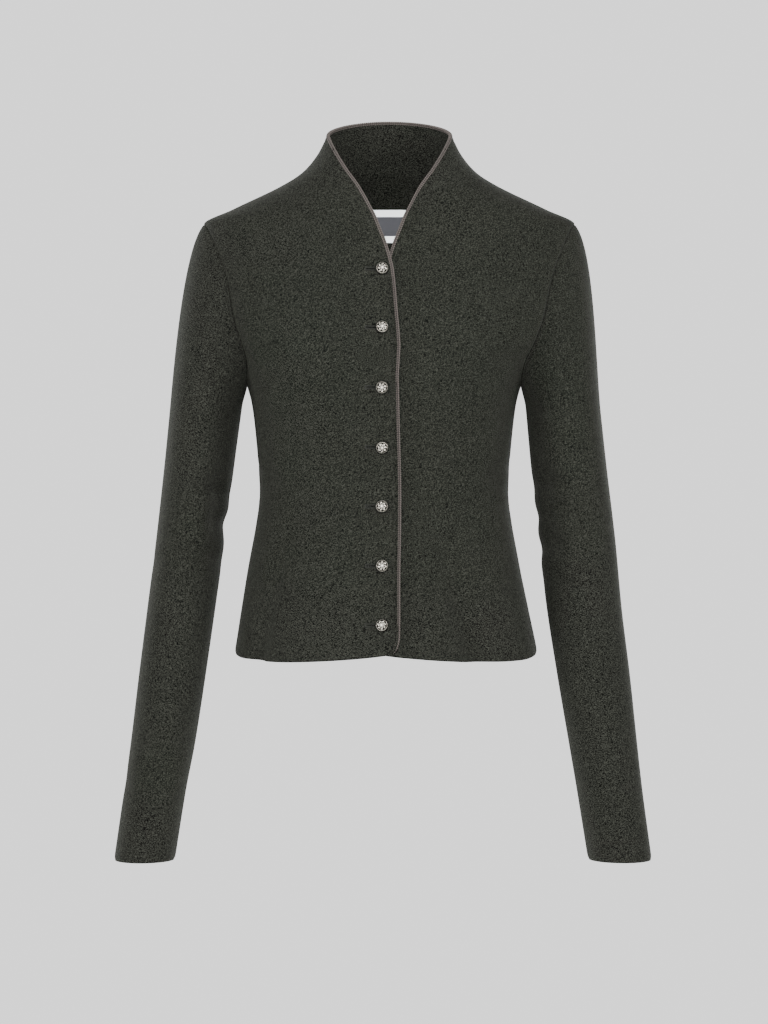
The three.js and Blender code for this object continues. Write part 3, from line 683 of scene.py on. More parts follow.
# Each pair of speeds is a mean, and how much it swings with the cosine of the angle round the armhole.
HEAD = dict(start_out=(32, 28), start_down=(45, 21), forward=8, end_out=(8.5, 6.5), end_down=(100, 75))
SLEEVES = {
    "right": table("z x y half deep", [
        (-700, -244, -37, 31, 41),
        (-632, -234.3, -25, 31.6, 42),
        (-583, -226.6, -17, 33, 43),
        (-509, -217, -6, 34.4, 45),
        (-447, -209, 1, 35, 47),
        (-373, -199.3, 5, 35.5, 50),
        (-300, -190.6, 4, 36, 53),
        (-240, -183.5, 2, 37, 56),
    ]),
    "left": table("z x y half deep", [
        (-700, 240.5, -35, 32.5, 41),
        (-632, 231, -24, 33.5, 42),
        (-583, 224.5, -16, 35, 43),
        (-509, 214.8, -6, 37.5, 45),
        (-447, 206.5, 1, 38.6, 47),
        (-373, 198.8, 5, 39.6, 50),
        (-300, 190.6, 4, 39, 53),
        (-240, 184.5, 2, 38.4, 56),
    ]),
}
SLEEVE_CREASES = {
    "right": table("z around spread height slant depth", [
        (-322, 128, 46, 9, 0.12, -5.4),
        (-352, 150, 60, 8, 0.1, -4.6),
        (-384, 100, 58, 8, 0.14, -5.6),
        (-368, -150, 40, 9, -0.1, -3.6),
        (-610, 70, 55, 12, 0.16, -2.4),
        (-330, 140, 22, 62, 0, -4.5),
    ]),
    "left": table("z around spread height slant depth", [
        (-312, 135, 44, 9, 0.16, -5.0),
        (-346, 110, 50, 8, 0.1, -3.8),
        (-378, 142, 55, 9, 0.13, -5.6),
        (-412, 120, 44, 9, 0.08, -3.6),
        (-355, -145, 44, 9, -0.12, -4.0),
        (-350, 138, 20, 80, 0, -4.5),
    ]),
}
SIGN = {"right": -1, "left": 1}


# %% The sleeve's points
def armhole_point(side, around):
    """A point of the armhole, by the sleeve's own angle: 0 on top, 90 in front, 180 under the arm."""
    z = armhole_height(around)
    points = [oval(face, SIGN[side] * armhole_angle(face, z), z) for face in ("front", "back")]
    return np.where((around >= 0)[..., None], *points)


def crease_depth(side, around, z):
    """Sleeve creases: a bell across each crease and one along it, and it slants as it runs."""
    out = np.zeros(np.broadcast(around, z).shape)
    for level, middle, width, height, slant, depth in zip(*SLEEVE_CREASES[side].values()):
        off = (around - middle + 540) % 360 - 180
        out = out + depth * bell(off / width) * bell((z - level + slant * np.abs(off)) / height)
    return out


def tube_point(side, around, z):
    """The level tube: an oval ring round the table's middle, with the creases' depth."""
    around, z = np.broadcast_arrays(around, np.asarray(z, float))
    a, rows, out = np.radians(around), SLEEVES[side], crease_depth(side, around, z)
    return np.stack([
        read(rows, "x", z) + SIGN[side] * (read(rows, "half", z) + out) * np.cos(a),
        read(rows, "y", z) - (read(rows, "deep", z) + out) * np.sin(a),
        z,
    ], axis=-1)


def head_point(side, around, t):
    """The sleeve head: a Hermite curve from the armhole to the tube's first ring."""
    around, t = np.broadcast_arrays(around, t)
    cosine, sine = np.cos(np.radians(around)), np.sin(np.radians(around))

    def speed(pair):
        return pair[0] + pair[1] * cosine

    start = np.stack([SIGN[side] * speed(HEAD["start_out"]), -HEAD["forward"] * sine,
                      -speed(HEAD["start_down"])], axis=-1)
    end = np.stack([SIGN[side] * speed(HEAD["end_out"]), 0 * cosine, -speed(HEAD["end_down"])], axis=-1)
    t = t[..., None]
    return (armhole_point(side, around) * (1 + 2 * t) * (1 - t) ** 2
            + tube_point(side, around, SLEEVE_START) * t * t * (3 - 2 * t)
            + start * t * (1 - t) ** 2 - end * t * t * (1 - t))


# %% Both sleeves
HEAD_ROWS, TUBE_ROWS = 56, 170
sleeve_around = np.linspace(-180, 180, 2 * ARMHOLE_STEPS, endpoint=False)


def sleeve_grid(side):
    """The sleeve's outer points: rows from the armhole down to the cuff, columns round it."""
    head_shares = (1 - np.cos(np.linspace(0, np.pi / 2, HEAD_ROWS + 1)))[:-1]
    head = head_point(side, sleeve_around[None], head_shares[:, None])
    tube = tube_point(side, sleeve_around[None], np.linspace(SLEEVE_START, CUFF, TUBE_ROWS)[:, None])
    grid = np.concatenate([head, tube])
    for _ in range(SLEEVE_SMOOTHING):
        grid[1:-1] = (grid[:-2] + 2 * grid[1:-1] + grid[2:]) / 4
    grid[0] -= unit(grid[1] - grid[0]) * SLEEVE_TUCK
    return grid


sleeves = {}
for side in ("right", "left"):
    grid = sleeve_grid(side)
    cuff = run_from_end(grid, 0)
    around = run_from_start(grid, 1)
    underarm = np.minimum(around, np.abs(around - around[:, -1:]))
    edges = np.minimum(np.minimum(run_from_start(grid, 0), cuff), underarm)
    sinking = seam(edges) + stitched(cuff, HEM_LINE)
    middles = grid.mean(axis=1, keepdims=True)
    sleeves[side] = cloth(f"sleeve_{side}_knit", grid, grid - middles, sinking, closed=True)
    print("sleeve", side, round(area(grid), 3), "m2")

# %% [markdown]
# ## The braided edge
#
# One narrow wool braid is folded over the raw edge, from the right hem corner up the front, round the
# neck and down the left front. It is a tube whose section is an oval. Its surface is two rounded
# strands with a groove between them, and turns of yarn slant across both, so that they meet in a
# herringbone. Real strands could be swept one by one, but at this size their crossings never show.

# %% The braided edge
BRAID_STEP, BRAID_SIDES = 0.5, 22
BRAID_TURN, BRAID_SLANT = 2.3, 0.55
BRAID_RELIEF, BRAID_GROOVE, GROOVE_WIDTH = 0.45, 0.8, 0.24
LINE_SMOOTHING = 6
END_PULL = 0.97  # how far a tube's end ring is pulled in to its middle


def bound_edge(inside=0):
    """The garment's bound edge as one line of points and normals, or a line that lies further
    inside it by some mm: right front, back neck, left front."""
    front = front_lines()[-1]
    rim_line = back_rim(back_across)
    if inside:
        front = draw_in("front", front, inside, FRONT_MIDDLE)
        rim_line = draw_in("back", rim_line, inside, BACK_MIDDLE)
    parts = [laid("front", front[:-1] * [-1, 1]), laid("back", rim_line),
             laid("front", front[-2::-1], under=True)]
    return (np.concatenate(part) for part in zip(*parts))


def even_steps(points, normals, step):
    """The line again, smoothed, with its points at even distances. Also gives the distances."""
    runs = run_from_start(points, 0)
    along = np.linspace(0, runs[-1], int(runs[-1] / step) + 1)
    points, normals = (np.stack([np.interp(along, runs, line[:, i]) for i in range(3)], axis=-1)
                       for line in (points, normals))
    for _ in range(LINE_SMOOTHING):
        for line in (points, normals):
            line[1:-1] = (line[:-2] + 2 * line[1:-1] + line[2:]) / 4
    return points, unit(normals), along


def braid_relief(along, around):
    """How far the braid's surface stands out at a distance along it and an angle round it."""
    from_groove = np.abs(np.cos(around))
    turns = np.abs(np.sin(np.pi * (along / BRAID_TURN + BRAID_SLANT * from_groove)))
    return BRAID_RELIEF * (turns - 1) - BRAID_GROOVE * bell(from_groove / GROOVE_WIDTH)


def tube(name, grid, cut=None):
    """A closed tube through rings of points, its ends pulled shut."""
    ends = [grid[:1].mean(axis=1, keepdims=True), grid[-1:].mean(axis=1, keepdims=True)]
    grid = np.concatenate([mix(grid[:1], ends[0], END_PULL), grid, mix(grid[-1:], ends[1], END_PULL)])
    faces = grid_faces(*grid.shape[:2], closed=True).reshape(-1, 4)
    points = grid.reshape(-1, 3)
    if cut is not None:
        cut = np.concatenate([cut[:1], cut, cut[-1:]]).reshape(-1, 2)
    return add_mesh(name, points, outwards(points, faces), cut)


points, normals, along = even_steps(*bound_edge(), BRAID_STEP)
inward = unit(np.cross(normals, way_along(points)))
middles = points + inward * BINDING_WIDTH / 2 - normals * CLOTH / 2
around = np.linspace(0, 2 * np.pi, BRAID_SIDES, endpoint=False)[None, :, None]
relief = braid_relief(along[:, None, None], around)
grid = (middles[:, None] + inward[:, None] * np.cos(around) * (BINDING_WIDTH / 2 + relief)
        + normals[:, None] * np.sin(around) * (BINDING_THICKNESS / 2 + relief))
cut = np.stack(np.broadcast_arrays(around[..., 0], along[:, None]), axis=-1)
braid = tube("braided_edge", grid, cut)
print("braid", round(along[-1]), "mm long")

# %% [markdown]
# ## Seam allowances
#
# Behind each armhole's seam the two cut edges are overlocked together, and they make a thin roll. It
# follows the armhole on the inside, along the way that lies midway between the body's wall and the
# sleeve's, and it keeps light from coming through the seam. Its tube runs once round and a little on.

# %% Seam allowances
ALLOWANCE_DEPTH, ALLOWANCE_RADIUS, ALLOWANCE_SIDES = 2.5, 1.0, 10
ALLOWANCE_END = 186  # degrees: where the tube ends, past the 180 at which it would meet its start
NEXT_ROW = 0.03  # a short way down the sleeve's head, for its slope


def seam_allowance(side):
    """The roll behind an armhole's seam: the armhole's points, moved inwards by a depth times the
    mean of the body's and the sleeve's normals."""
    around = np.linspace(-180, ALLOWANCE_END, 2 * ARMHOLE_STEPS + 3)
    around = np.where(around > 180, around - 360, around)
    z = armhole_height(around)
    body = np.where((around >= 0)[:, None], *(
        oval_normal(face, SIGN[side] * armhole_angle(face, z), z) for face in ("front", "back")))
    points, next_points = (head_point(side, around, np.full(around.shape, t))
                           for t in (0, NEXT_ROW))
    sleeve = unit(np.cross(way_along(points), next_points - points))
    sleeve *= np.sign(np.sum(sleeve * (points - points.mean(axis=0))))
    middles = points - (body + sleeve) / 2 * ALLOWANCE_DEPTH
    aside = unit(np.cross(way_along(middles), body))
    rings = circles(aside, np.cross(aside, way_along(middles)), ALLOWANCE_SIDES)
    return tube(f"armhole_allowance_{side}", middles[:, None] + rings * ALLOWANCE_RADIUS)


allowances = [seam_allowance(side) for side in SIGN]
print("allowances", len(allowances))

# %% [markdown]
# ## Stitches
#
# Every stitch is a short capsule of thread that lies along the cloth. One function makes any number
# of them in one mesh, from their middles and directions, so the topstitching beside the braid, the
# hems and the buttonholes all use it. A bump could draw them too, but only real thread casts the
# small shadows by which one sees a stitch. A capsule has few faces, because there are many hundreds.

# %% Stitches
THREAD_RADIUS = 0.28
STITCH_LENGTH, STITCH_PITCH = 2.5, 3.3
WHIP_LENGTH, WHIP_PITCH, WHIP_RADIUS = 2.0, 0.75, 0.3
CAPSULE = ((-0.5, 0.3), (-0.38, 0.9), (0.38, 0.9), (0.5, 0.3))  # rings: place along, share of radius
CAPSULE_SIDES = 6
CAPSULE_POINTS = len(CAPSULE) * CAPSULE_SIDES


def capsules(name, middles, ways, normals, length, radius):
    """Capsules of thread in one mesh: each has four rings of six points round its way."""
    ways = unit(ways)
    up = unit(normals - ways * np.sum(ways * normals, axis=-1, keepdims=True))
    round_way = circles(np.cross(ways, up), up, CAPSULE_SIDES)
    points = np.concatenate([
        (middles + ways * place * length)[:, None] + round_way * radius * share
        for place, share in CAPSULE], axis=1)
    sides = grid_faces(len(CAPSULE), CAPSULE_SIDES, closed=True).reshape(-1, 4)
    ends = np.array([[3, 2, 1, 0], [5, 4, 3, 0], [18, 19, 20, 21], [18, 21, 22, 23]])
    one = np.concatenate([sides, ends])
    corner, beside, along = points[0, 0], points[0, 1], points[0, CAPSULE_SIDES]
    if np.sum(np.cross(beside - corner, along - corner) * (corner - middles[0])) < 0:
        one = one[:, ::-1]
    faces = (one[None] + CAPSULE_POINTS * np.arange(len(middles))[:, None, None]).reshape(-1, 4)
    return add_mesh(name, points.reshape(-1, 3), faces)


# %% Rows of stitches
HEM_SPAN, HEM_SAMPLES, CUFF_SAMPLES = (0.02, 0.98), 160, 120


def stitch_row(points, normals):
    """Middles, ways and normals of a row of running stitches along a line on the cloth."""
    points, normals, _ = even_steps(points, normals, STITCH_PITCH)
    return points - normals * STITCH_SINK, way_along(points), normals


def joined(rows):
    """Several rows' middles, ways and normals, one after the other."""
    return (np.concatenate(part) for part in zip(*rows))


def hem_lines():
    """The stitch lines above the hem of both fronts and the back, and above both cuffs."""
    across = np.linspace(*HEM_SPAN, HEM_SAMPLES)
    lines = []
    for face, sign in (("front", -1), ("front", 1), ("back", 1)):
        if face == "front":
            bottom = front_lines()[2]
            line = np.stack([np.interp(across, front_across, bottom[:, i]) for i in (0, 1)], axis=-1)
            line *= [sign, 1]
        else:
            line = curve(mix(-90, 90, across), HEM_SIDE - HEM_DIP_BACK * np.sin(np.pi * across))
        under = face == "front" and sign == 1
        lines.append(stitch_row(*laid(face, line + [0, HEM_LINE], under)))
    for side in SIGN:
        around = np.linspace(-180, 180, CUFF_SAMPLES)
        points = tube_point(side, around, CUFF + HEM_LINE)
        lines.append(stitch_row(points, unit(points - points.mean(axis=0))))
    return lines


# %% Buttonhole stitches
TRIALS = 8
WHIP_OVERLAP, WHIP_SLANT = 0.4, 0.12  # how far a stitch reaches over its lip, and its lean
BAR_PLACES, BAR_REACH, BAR_LIFT = (-0.5, -0.1, 0.3), 0.9, 0.15


def front_spots(x, z):
    """Points and normals of the right front at x and z: the angle is found by trial, and bettered
    by the remaining error a few times."""
    x, z = np.broadcast_arrays(np.asarray(x, float), np.asarray(z, float))
    angle = np.zeros(x.shape)
    for _ in range(TRIALS):
        reach = half_width(np.radians(angle), z) + swell("front", angle, z)
        sine = (x - read(SECTIONS, "middle", z)) / reach
        angle = np.degrees(np.arcsin(np.clip(sine, -1, 1)))
    return laid("front", curve(angle, z))


def whip_stitches():
    """Stitches over both lips of each buttonhole, and a bar across its outer end: three pairs of
    stitches side by side, which lie a little higher."""
    rows = []
    for z in button_heights:
        x = np.arange(SLIT_START, SLIT_END, WHIP_PITCH)
        for way in (-1, 1):
            points, normals = front_spots(x, z + way * ((SLIT_WIDTH + WHIP_LENGTH) / 2 - WHIP_OVERLAP))
            rows.append((points, np.tile([WHIP_SLANT, 0, way], (len(x), 1)), normals))
        for place in BAR_PLACES:
            points, normals = front_spots(SLIT_START + place, z + np.array([-BAR_REACH, BAR_REACH]))
            rows.append((points + normals * BAR_LIFT, np.tile([0, 0, 1], (2, 1)), normals))
    return rows


topstitching = capsules("topstitching", *joined([
    stitch_row(*bound_edge(BINDING_WIDTH + STITCH_LINE)), *hem_lines()]), STITCH_LENGTH, THREAD_RADIUS)
whipping = capsules("buttonhole_stitches", *joined(whip_stitches()), WHIP_LENGTH, WHIP_RADIUS)
print("stitches", *(len(piece.data.vertices) // CAPSULE_POINTS for piece in (topstitching, whipping)))

# %% [markdown]
# ## Pewter buttons
#
# A cast button is a disc of revolution with a relief. Its height is a dome plus a roped rim, a ring
# of rosettes with a dimple in each, and a boss in the middle. The whole ring swirls: the further out a
# point lies, the more it is turned. All of it is one formula of the distance from the middle and the
# angle, and it is real geometry, because a bump wouldn't catch the light on so strong a relief. A
# shank behind the button goes through the buttonhole, with turns of thread round it. A sewn button
# never hangs quite straight, so each has a turn and a tilt of its own.

# %% Pewter buttons
BUTTON_RADIUS, BUTTON_RIM, BUTTON_DOME = 6.35, 1.0, 4.0
BUTTON_STAND, SHANK_RADIUS, SHANK_LENGTH = 0.9, 1, 4.2
BACK_RINGS = (0.02, 0.5, 0.94)  # the flat back's rings, as shares of the radius
ROSETTE = dict(count=7, place=0.55, size=0.17, swirl=1.1, height=0.5, ring=0.62, ring_width=0.3,
               dimple=0.25, dimple_width=0.35)
ROPE = dict(turns=22, place=0.86, width=0.08, height=0.36)
BOSS = dict(height=0.55, width=0.17, pit=0.4, pit_width=0.06, ring=0.22, ring_place=0.3, ring_width=0.05)
BUTTON_RINGS, BUTTON_SPOKES = 46, 120
SHANK_RINGS, SHANK_SIDES, THREAD_SWELL = 24, 12, 0.12
BUTTON_TURNS = (20, -35, 5, 50, -12, 28, -48)  # how each hangs round its own axis, in degrees
# How far each is tipped sideways and upwards, in degrees.
BUTTON_TILTS = ((5, -4), (3, 2), (-3, 3), (2, -3), (-2, 2), (3, -2), (-4, 3))


def button_relief(r, angle):
    """The relief's height at a share r of the radius and at an angle in radians. The rope is a bell
    round the rim times a sine along it. A rosette is a ring round a dimple, and the sectors repeat
    it. The boss is a bell with a pit in its middle and a thin ring round it."""
    from_rope = (r - ROPE["place"]) / ROPE["width"]
    rope = ROPE["height"] * bell(from_rope) * (0.6 + 0.4 * np.sin(ROPE["turns"] * angle + 2 * from_rope))
    sector = 2 * np.pi / ROSETTE["count"]
    off = (angle + ROSETTE["swirl"] * r + sector / 2) % sector - sector / 2
    away = np.hypot(r * np.cos(off) - ROSETTE["place"], r * np.sin(off)) / ROSETTE["size"]
    rosette = (ROSETTE["height"] * bell((away - ROSETTE["ring"]) / ROSETTE["ring_width"])
               - ROSETTE["dimple"] * bell(away / ROSETTE["dimple_width"]))
    boss = (BOSS["height"] * bell(r / BOSS["width"]) - BOSS["pit"] * bell(r / BOSS["pit_width"])
            + BOSS["ring"] * bell((r - BOSS["ring_place"]) / BOSS["ring_width"]))
    return rope + rosette + boss


def button_grid():
    """Rings of a button from its back's middle round the edge to its front's middle, in its own
    axes with the dome towards +Z, and each point's relief."""
    spokes = np.linspace(0, 2 * np.pi, BUTTON_SPOKES, endpoint=False)
    r = np.concatenate([BACK_RINGS, np.sin(np.linspace(np.pi / 2, 0.004, BUTTON_RINGS))])
    behind = np.arange(len(r)) < len(BACK_RINGS)
    bulge = np.sqrt(np.clip(1 - r ** 2, 0, 1))
    relief = np.where(behind[:, None], 0, button_relief(r[:, None], spokes[None]))
    relief *= (1 - smoothstep(r, 0.97, 1))[:, None]
    height = np.where(behind, 0, BUTTON_RIM + BUTTON_DOME * bulge)[:, None] + relief
    across = (r * BUTTON_RADIUS)[:, None]
    axes = across * np.cos(spokes), across * np.sin(spokes), height
    return np.stack(np.broadcast_arrays(*axes), axis=-1), relief


# %% Sewing the buttons on
def frame_on(normal, turn, tilt):
    """Three axes on the cloth: across, up and out, turned round 'out' and tipped a little."""
    out = unit(normal + np.array([math.radians(tilt[0]), 0, math.radians(tilt[1])]))
    across = unit(np.cross([0, 0, 1], out))
    up = np.cross(out, across)
    c, s = math.cos(math.radians(turn)), math.sin(math.radians(turn))
    return np.stack([c * across + s * up, c * up - s * across, out])


def add_button(i, z):
    """A button on the right front: its head, and its shank down to the cloth beneath, whose rings
    swell and shrink in turn, as turns of thread do."""
    (spot,), (normal,) = front_spots([BUTTON_X], z)
    head, relief = button_grid()
    spokes = np.linspace(0, 2 * np.pi, SHANK_SIDES, endpoint=False)
    ring = np.stack([np.cos(spokes), np.sin(spokes), 0 * spokes], axis=-1) * SHANK_RADIUS
    shank = ring + np.array([0, 0, 1]) * np.linspace(-SHANK_LENGTH, 0.2, SHANK_RINGS)[:, None, None]
    shank[..., :2] *= (1 + THREAD_SWELL * np.cos(np.arange(SHANK_RINGS) * np.pi))[:, None, None]
    axes = frame_on(normal, BUTTON_TURNS[i], BUTTON_TILTS[i])
    foot = spot + normal * BUTTON_STAND
    button = tube(f"pewter_button_{i + 1}", foot + head @ axes)
    values = np.concatenate([relief[:1], relief, relief[-1:]]).astype(np.float32)
    button.data.attributes.new("relief", "FLOAT", "POINT").data.foreach_set("value", values.ravel())
    thread = tube(f"button_shank_{i + 1}", foot + shank @ axes)
    return button, thread


buttons = [add_button(i, z) for i, z in enumerate(button_heights)]
print("buttons", len(buttons))

# %% [markdown]
# ## The label
#
# A white woven label lies against the inside of the back neck. It bows a little between its stitched
# corners, and it carries a plain grey band and nothing else. It is a thin wall of its own on the
# back's own form, so it follows the cloth behind it wherever the tables move it.

# %% The label
LABEL_WIDTH, LABEL_TOP, LABEL_BOTTOM, LABEL_THICKNESS, LABEL_STAND = 35, -27, -61, 0.8, 0.8
LABEL_COLUMNS, LABEL_ROWS = 41, 37
LABEL_BOW = 0.5
TACK_LENGTH, TACK_STEP, TACK_REACH = 2.2, 1.2, 0.94


def label_spots(across, z):
    """Points and normals of the back's inside, at shares of the label's width and at heights."""
    across, z = np.broadcast_arrays(across, z)
    sine = across * LABEL_WIDTH / 2 / read(SECTIONS, "half", z)
    points, normals = laid("back", curve(np.degrees(np.arcsin(sine)), z))
    return points - normals * (CLOTH + LABEL_STAND), normals


across, heights = np.linspace(-1, 1, LABEL_COLUMNS), np.linspace(LABEL_BOTTOM, LABEL_TOP, LABEL_ROWS)
grid, normals = label_spots(across[None], heights[:, None])
upward = np.cos(np.pi / 2 * np.linspace(-1, 1, LABEL_ROWS))
bow = LABEL_BOW * np.outer(upward, np.cos(np.pi / 2 * across) ** 0.5)
grid = grid - normals * bow[..., None]
places = across[None] * LABEL_WIDTH / 2, heights[:, None] - LABEL_BOTTOM
cut = np.stack(np.broadcast_arrays(*places), axis=-1)
label = wall("woven_label", grid, grid - normals * LABEL_THICKNESS, cut=cut)
tack_rows = (LABEL_BOTTOM + 1, TACK_STEP), (LABEL_TOP - 1, -TACK_STEP)
corners = [label_spots(np.array([x, x]), np.array([z, z + step]))
           for x in (-TACK_REACH, TACK_REACH) for z, step in tack_rows]
tacks = capsules("label_tacks", *joined([
    (points - normals * (LABEL_THICKNESS + 0.2), np.tile([1, 0, 0], (2, 1)), -normals)
    for points, normals in corners]), TACK_LENGTH, THREAD_RADIUS)
print("label", LABEL_WIDTH, "by", LABEL_TOP - LABEL_BOTTOM, "mm")

# %% [markdown]
# ## Materials
#
# Each material is named for the real one, and all of its patterns are worked out from real sizes in
# millimetres. The frame is in metres, so a texture's scale is divided by MM. A pattern that follows
# the cut piece reads the attribute "cut", and one that is the same in all ways reads the object's own
# coordinates. Either stays on the cloth when the garment is moved.


# %% Material helpers
def linear(code):
    """A colour from sRGB hex to the linear values that Blender works in."""
    values = [int(code[i:i + 2], 16) / 255 for i in (1, 3, 5)]
    return (*(v / 12.92 if v <= 0.04045 else ((v + 0.055) / 1.055) ** 2.4 for v in values), 1)


def add(tree, kind, inputs=(), **settings):
    """A shader node with its settings. 'inputs' pairs a socket with a value or another's output."""
    made = tree.nodes.new(f"ShaderNode{kind}")
    for name, value in settings.items():
        setattr(made, name, value)
    for socket, value in dict(inputs).items():
        if isinstance(value, bpy.types.NodeSocket):
            tree.links.new(value, made.inputs[socket])
        else:
            made.inputs[socket].default_value = value
    return made


def new_material(name, **inputs):
    """A material, its tree and its surface. Inputs are the surface's, with _ for a space."""
    made = bpy.data.materials.new(name)
    made.use_nodes = True
    surface = made.node_tree.nodes["Principled BSDF"]
    for socket, value in inputs.items():
        surface.inputs[socket.replace("_", " ")].default_value = value
    return made, made.node_tree, surface


def grain(tree, size, detail=2.0, roughness=0.5, stretch=(1, 1, 1)):
    """Noise whose lumps are about 'size' mm, in the object's own space. From 0 to 1."""
    place = add(tree, "TexCoord").outputs["Object"]
    scaled = add(tree, "VectorMath", {0: place, 1: stretch}, operation="MULTIPLY").outputs[0]
    return add(tree, "TexNoise", {"Vector": scaled, "Scale": 1 / (size * MM), "Detail": detail,
                                  "Roughness": roughness}).outputs["Fac"]


def maths(tree, operation, a, b=0.0):
    """One step of arithmetic between values or outputs."""
    return add(tree, "Math", {0: a, 1: b}, operation=operation).outputs[0]


def ranged(tree, value, low, high, to_low=0.0, to_high=1.0):
    """A value from low to high, spread from to_low to to_high, and cut off past both."""
    return add(tree, "MapRange", {0: value, 1: low, 2: high, 3: to_low, 4: to_high}).outputs[0]


def cut_place(tree):
    """The two outputs that say where a point lies on its cut piece: across it and up it, in mm."""
    place = add(tree, "Attribute", attribute_name="cut").outputs["Vector"]
    return add(tree, "SeparateXYZ", {0: place}).outputs[:2]


def dyed(tree, surface, share, dark, light):
    """Mixes two colours by a share from 0 to 1, as the surface's colour. A Mix node's colours are
    its inputs 6 and 7."""
    mixed = add(tree, "Mix", {0: share, 6: linear(dark), 7: linear(light)}, data_type="RGBA")
    tree.links.new(mixed.outputs[2], surface.inputs["Base Color"])


def raised(tree, surface, height, distance):
    """A bump of 'distance' mm on the surface."""
    bump = add(tree, "Bump", {"Height": height, "Distance": distance * MM, "Strength": 1.0})
    tree.links.new(bump.outputs["Normal"], surface.inputs["Normal"])


# %% [markdown]
# ### Boiled wool
#
# The knit is fine, with stitches about 1.9 mm wide and 1.4 mm high, and felting has blurred it. So
# its relief is a row of V shapes, half hidden by a felted grain. Its yarn is spun from dyed fibres of
# several shades, which gives a dark green grey speckled with paler and darker fibres. Wool fibres
# scatter light and hardly gloss: the roughness is full, and the specular and sheen are almost none.
# The flecks are drawn coarser than single fibres, which would be too fine to show.

# %% Boiled wool
WOOL_DARK, WOOL_LIGHT, WOOL_SHEEN = "#000000", "#232420", "#8d9184"
WALE, COURSE = 1.9, 1.4
FLECK, FELT, MOTTLE = 0.85, 1.6, 30
FLECK_STRETCH = (0.7, 0.7, 1.3)  # a fleck is longer along the rows of knit than up them
FLECK_FROM, FLECK_TO, MOTTLE_SHARE = 0.4, 0.66, 0.1
FELT_SHARE, STITCH_SHARE, WOOL_BUMP = 1.4, 0.4, 0.18


def knit_stitches(tree):
    """The V-shaped stitches of the knit, from 0 to 1: across a wale the legs of the V rise
    towards both its sides, and each course repeats them."""
    across, up = cut_place(tree)
    wale = maths(tree, "PINGPONG", maths(tree, "DIVIDE", across, WALE / 2), 1.0)
    course = maths(tree, "DIVIDE", up, COURSE)
    leg = maths(tree, "SINE", maths(tree, "MULTIPLY", maths(tree, "ADD", course, wale), 2 * math.pi))
    return maths(tree, "MULTIPLY", maths(tree, "ADD", leg, 1), 0.5)


def boiled_wool():
    """Felted wool knit: flecks and a faint mottle mix its two shades, and felt and stitches raise it."""
    made, tree, surface = new_material("boiled_wool_knit", Roughness=1.0, Sheen_Weight=0.03,
                                       Sheen_Roughness=0.5, Specular_IOR_Level=0.03)
    surface.inputs["Sheen Tint"].default_value = linear(WOOL_SHEEN)
    fleck = ranged(tree, grain(tree, FLECK, 1.0, 0.7, FLECK_STRETCH), FLECK_FROM, FLECK_TO)
    mottle = maths(tree, "SUBTRACT", grain(tree, MOTTLE, 3.0), 0.5)
    share = maths(tree, "ADD", fleck, maths(tree, "MULTIPLY", mottle, MOTTLE_SHARE))
    dyed(tree, surface, share, WOOL_DARK, WOOL_LIGHT)
    felt = maths(tree, "MULTIPLY", grain(tree, FELT, 4.0, 0.7), FELT_SHARE)
    stitches = maths(tree, "MULTIPLY", knit_stitches(tree), STITCH_SHARE)
    raised(tree, surface, maths(tree, "ADD", felt, stitches), WOOL_BUMP)
    return made


wool = boiled_wool()
for piece in (*fronts.values(), back, *sleeves.values(), *allowances):
    piece.data.materials.append(wool)
print("wool nodes", len(wool.node_tree.nodes))

# %% [markdown]
# ### Wool braid
#
# The braid is spun wool too, a paler grey brown, smoother and harder than the felted knit. Its colour
# carries painted shade in the same turns and groove as its shape: each turn is painted pale on top and
# dark where it dives under the next, and the groove is painted dark. Ambient occlusion would find the
# shade in those hollows as well, but it is slow to render.

# %% Wool braid
BRAID_DARK, BRAID_LIGHT = "#090808", "#423d3a"
BRAID_FIBRE, BRAID_BUMP = 0.7, 0.15
# The share of the braid's colour that is painted shade, against its real fibre tone.
PAINTED_SHADE_WEIGHT = 0.7


def wool_braid():
    """Braided wool with painted shade: its tops are |sin| of the turns, as in its relief, dark in the
    groove.
    """
    made, tree, surface = new_material("wool_braid", Roughness=0.9, Specular_IOR_Level=0.1)
    around, along = cut_place(tree)
    from_groove = maths(tree, "ABSOLUTE", maths(tree, "COSINE", around))
    turns = maths(tree, "ADD", maths(tree, "MULTIPLY", along, math.pi / BRAID_TURN),
                  maths(tree, "MULTIPLY", from_groove, math.pi * BRAID_SLANT))
    # Painted shade: pale on the turns' tops, dark where each dives under the next and towards the
    # groove. It is mixed below with the fibres' real tone.
    painted_turn_shade = maths(tree, "MULTIPLY", maths(tree, "ABSOLUTE", maths(tree, "SINE", turns)),
                  ranged(tree, from_groove, 0.05, 0.4))
    fibre = ranged(tree, grain(tree, BRAID_FIBRE, 3.0, 0.6), 0.3, 0.7)
    share = add(tree, "Mix", {0: PAINTED_SHADE_WEIGHT, 2: fibre, 3: painted_turn_shade}).outputs[0]
    dyed(tree, surface, share, BRAID_DARK, BRAID_LIGHT)
    raised(tree, surface, fibre, BRAID_BUMP)
    return made


braid.data.materials.append(wool_braid())
print("braid turns", round(along[-1] / BRAID_TURN))

# %% [markdown]
# ### Antique pewter
#
# The buttons are cast pewter, darkened in a bath and rubbed by hand: what stands out is bright and
# smooth, and the hollows stay dark and dull. The mesh carries each point's relief as an attribute, so
# the material knows what stands out. A pointiness node would guess it from the mesh's own angles.

# %% Antique pewter
PEWTER_DARK, PEWTER_LIGHT = "#060605", "#d6d2c6"
WORN_FROM, WORN_TO = 0.1, 0.52  # heights of the relief, in mm
PEWTER_DULL, PEWTER_BRIGHT = 0.6, 0.22
PEWTER_STAIN = 1.5


